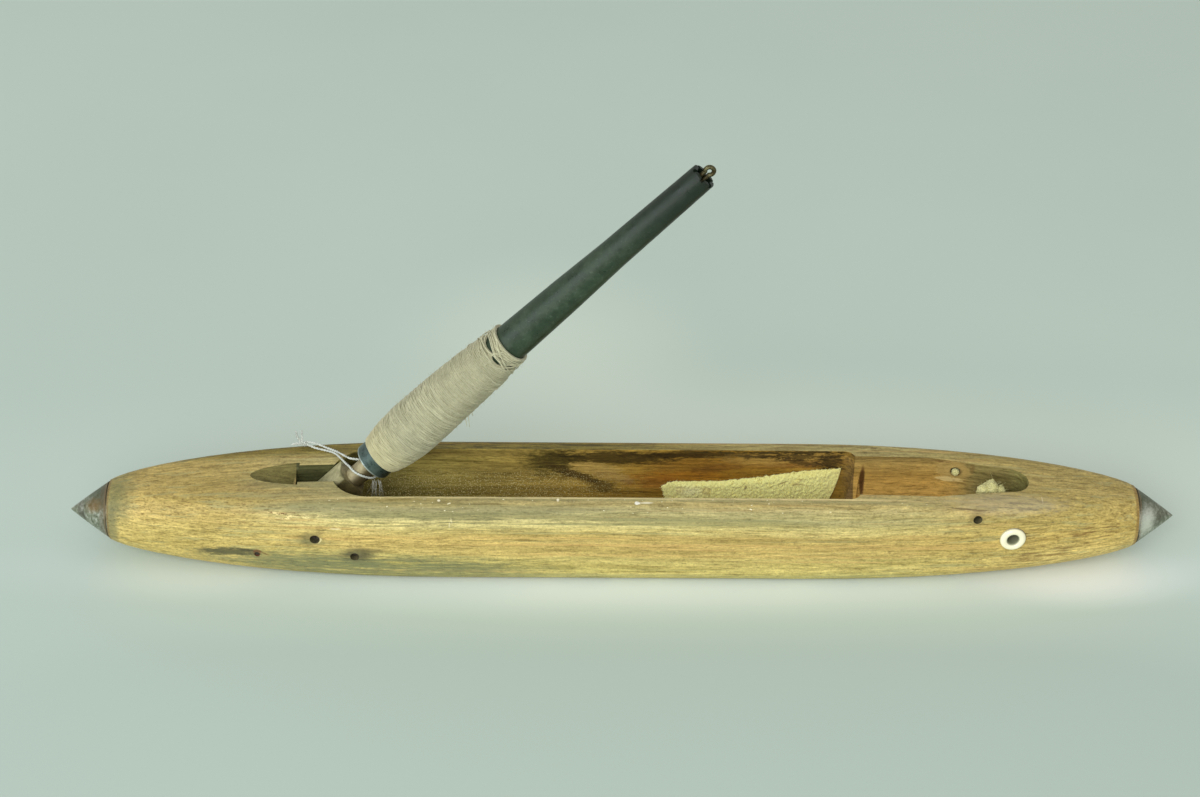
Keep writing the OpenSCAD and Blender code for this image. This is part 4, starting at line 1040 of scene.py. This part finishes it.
mesh = bmesh.new()
for centre, radii, seed in (
    ((131.9, -0.6, 25.4), (4.9, 5.2, 8.2), 1), ((129.0, -3.4, 30.2), (2.6, 2.6, 3.0), 5),
    ((132.4, -2.8, 31.2), (2.8, 3.2, 2.8), 9), ((135.2, -3.2, 29.8), (2.4, 2.6, 3.0), 12),
):
    wad(mesh, centre, radii, seed)
chance = random.Random(31)
outside = [v.co.copy() for v in mesh.verts if v.co.z > 0.0285]
for root in chance.sample(outside, 70):
    away = root - Vector((0.1318, -0.0015, 0.0265))
    stray_fibres(mesh, [root - away * 0.03], away.normalized(), 0.0026, 0.00005, 0.5, chance.random())
wool_wad = new_piece("wool_wad", mesh, raw_wool)
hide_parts("wool_tuft")
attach(wool_wad, "shuttle")

mesh = bmesh.new()
wad(mesh, (120.8, 10.4, 28.9), (1.6, 1.9, 1.5), 3)
wool_stop = new_piece("wool_stop", mesh, raw_wool)
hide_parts("wool_plug")
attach(wool_stop, "shuttle")


# The table: a plain pale sheet under the shuttle, with painted light close round it where its shadow
# falls, painted shade towards the front, and darker at the far left.
# It is lit by a wide soft lamp in front, a smaller one low at the left, and an even sky.
bpy.ops.object.select_all(action="DESELECT")
bpy.ops.mesh.primitive_plane_add(size=24, location=(0, 0, -0.0003))
table = bpy.context.object
table.name = "table"
cloth, shader, place = new_material("pale sheet", rough=0.9)
cloud = speckle(place, (2.5, 2.5, 2.5), 4.0, 0.6)
colour = shades(cloud, [(0.3, (191, 208, 195)), (0.7, (197, 213, 199))])
axes = put("SeparateXYZ", place).outputs
# Painted shade: the sheet is darker towards the front, less so beyond the shuttle's ends.
beyond_ends = fade(calc("ABSOLUTE", axes[0]), 0.12, 0.24)
shrunk = calc("MULTIPLY_ADD", beyond_ends, -0.8, 1.0)
forward = product(calc("ADD", axes[1], 0.045), shrunk)
colour = laid_over(colour, (180, 197, 185), fade(forward, 0.015, -0.015))
# Painted light where shadows fall: in front of the shuttle, under both ends, behind it and behind the
# pirn. The last patch is darker, at the far left.
finish_shader(shader, stains_and_painted_light(place, colour, [
    ((0, -12, 0), (168, 18, 100), 0.0, 0.7, (240, 249, 245), 0.72),
    ((164, -13, 0), (27, 12, 100), 0.0, 0.9, (252, 255, 248), 0.7),
    ((-156, -15, 0), (27, 10, 100), 0.0, 0.9, (244, 250, 240), 0.5),
    ((20, 45, 0), (190, 45, 100), 0.0, 0.9, (234, 244, 230), 0.55),
    ((-30, 120, 0), (45, 50, 100), 0.0, 0.9, (222, 235, 218), 0.6),
    ((-240, 60, 0), (120, 180, 100), 0.0, 0.9, (180, 197, 187), 0.6),
]))
table.data.materials.append(cloth)

scene.world = bpy.data.worlds.new("sky")
scene.world.use_nodes = True
sky = scene.world.node_tree.nodes["Background"]
sky.inputs[0].default_value = (1, 1, 1, 1)
sky.inputs[1].default_value = 0.57
for name, size, power, tone, stands in (
    ("soft lamp", 1.3, 25, (1, 1, 1), (-0.40, -1.6, 1.05)),
    ("low side lamp", 1.0, 6, (0.84, 0.93, 1.0), (-1.30, -0.75, 0.55)),
):
    lamp_data = bpy.data.lights.new(name, "AREA")
    lamp_data.color = tone
    lamp_data.shape, lamp_data.size, lamp_data.energy = "SQUARE", size, power
    lamp = bpy.data.objects.new(name, lamp_data)
    scene.collection.objects.link(lamp)
    lamp.location = stands
    lamp.visible_camera = False
    lamp.rotation_euler = (Vector((0, 0, 0.05)) - lamp.location).to_track_quat("-Z", "Y").to_euler()
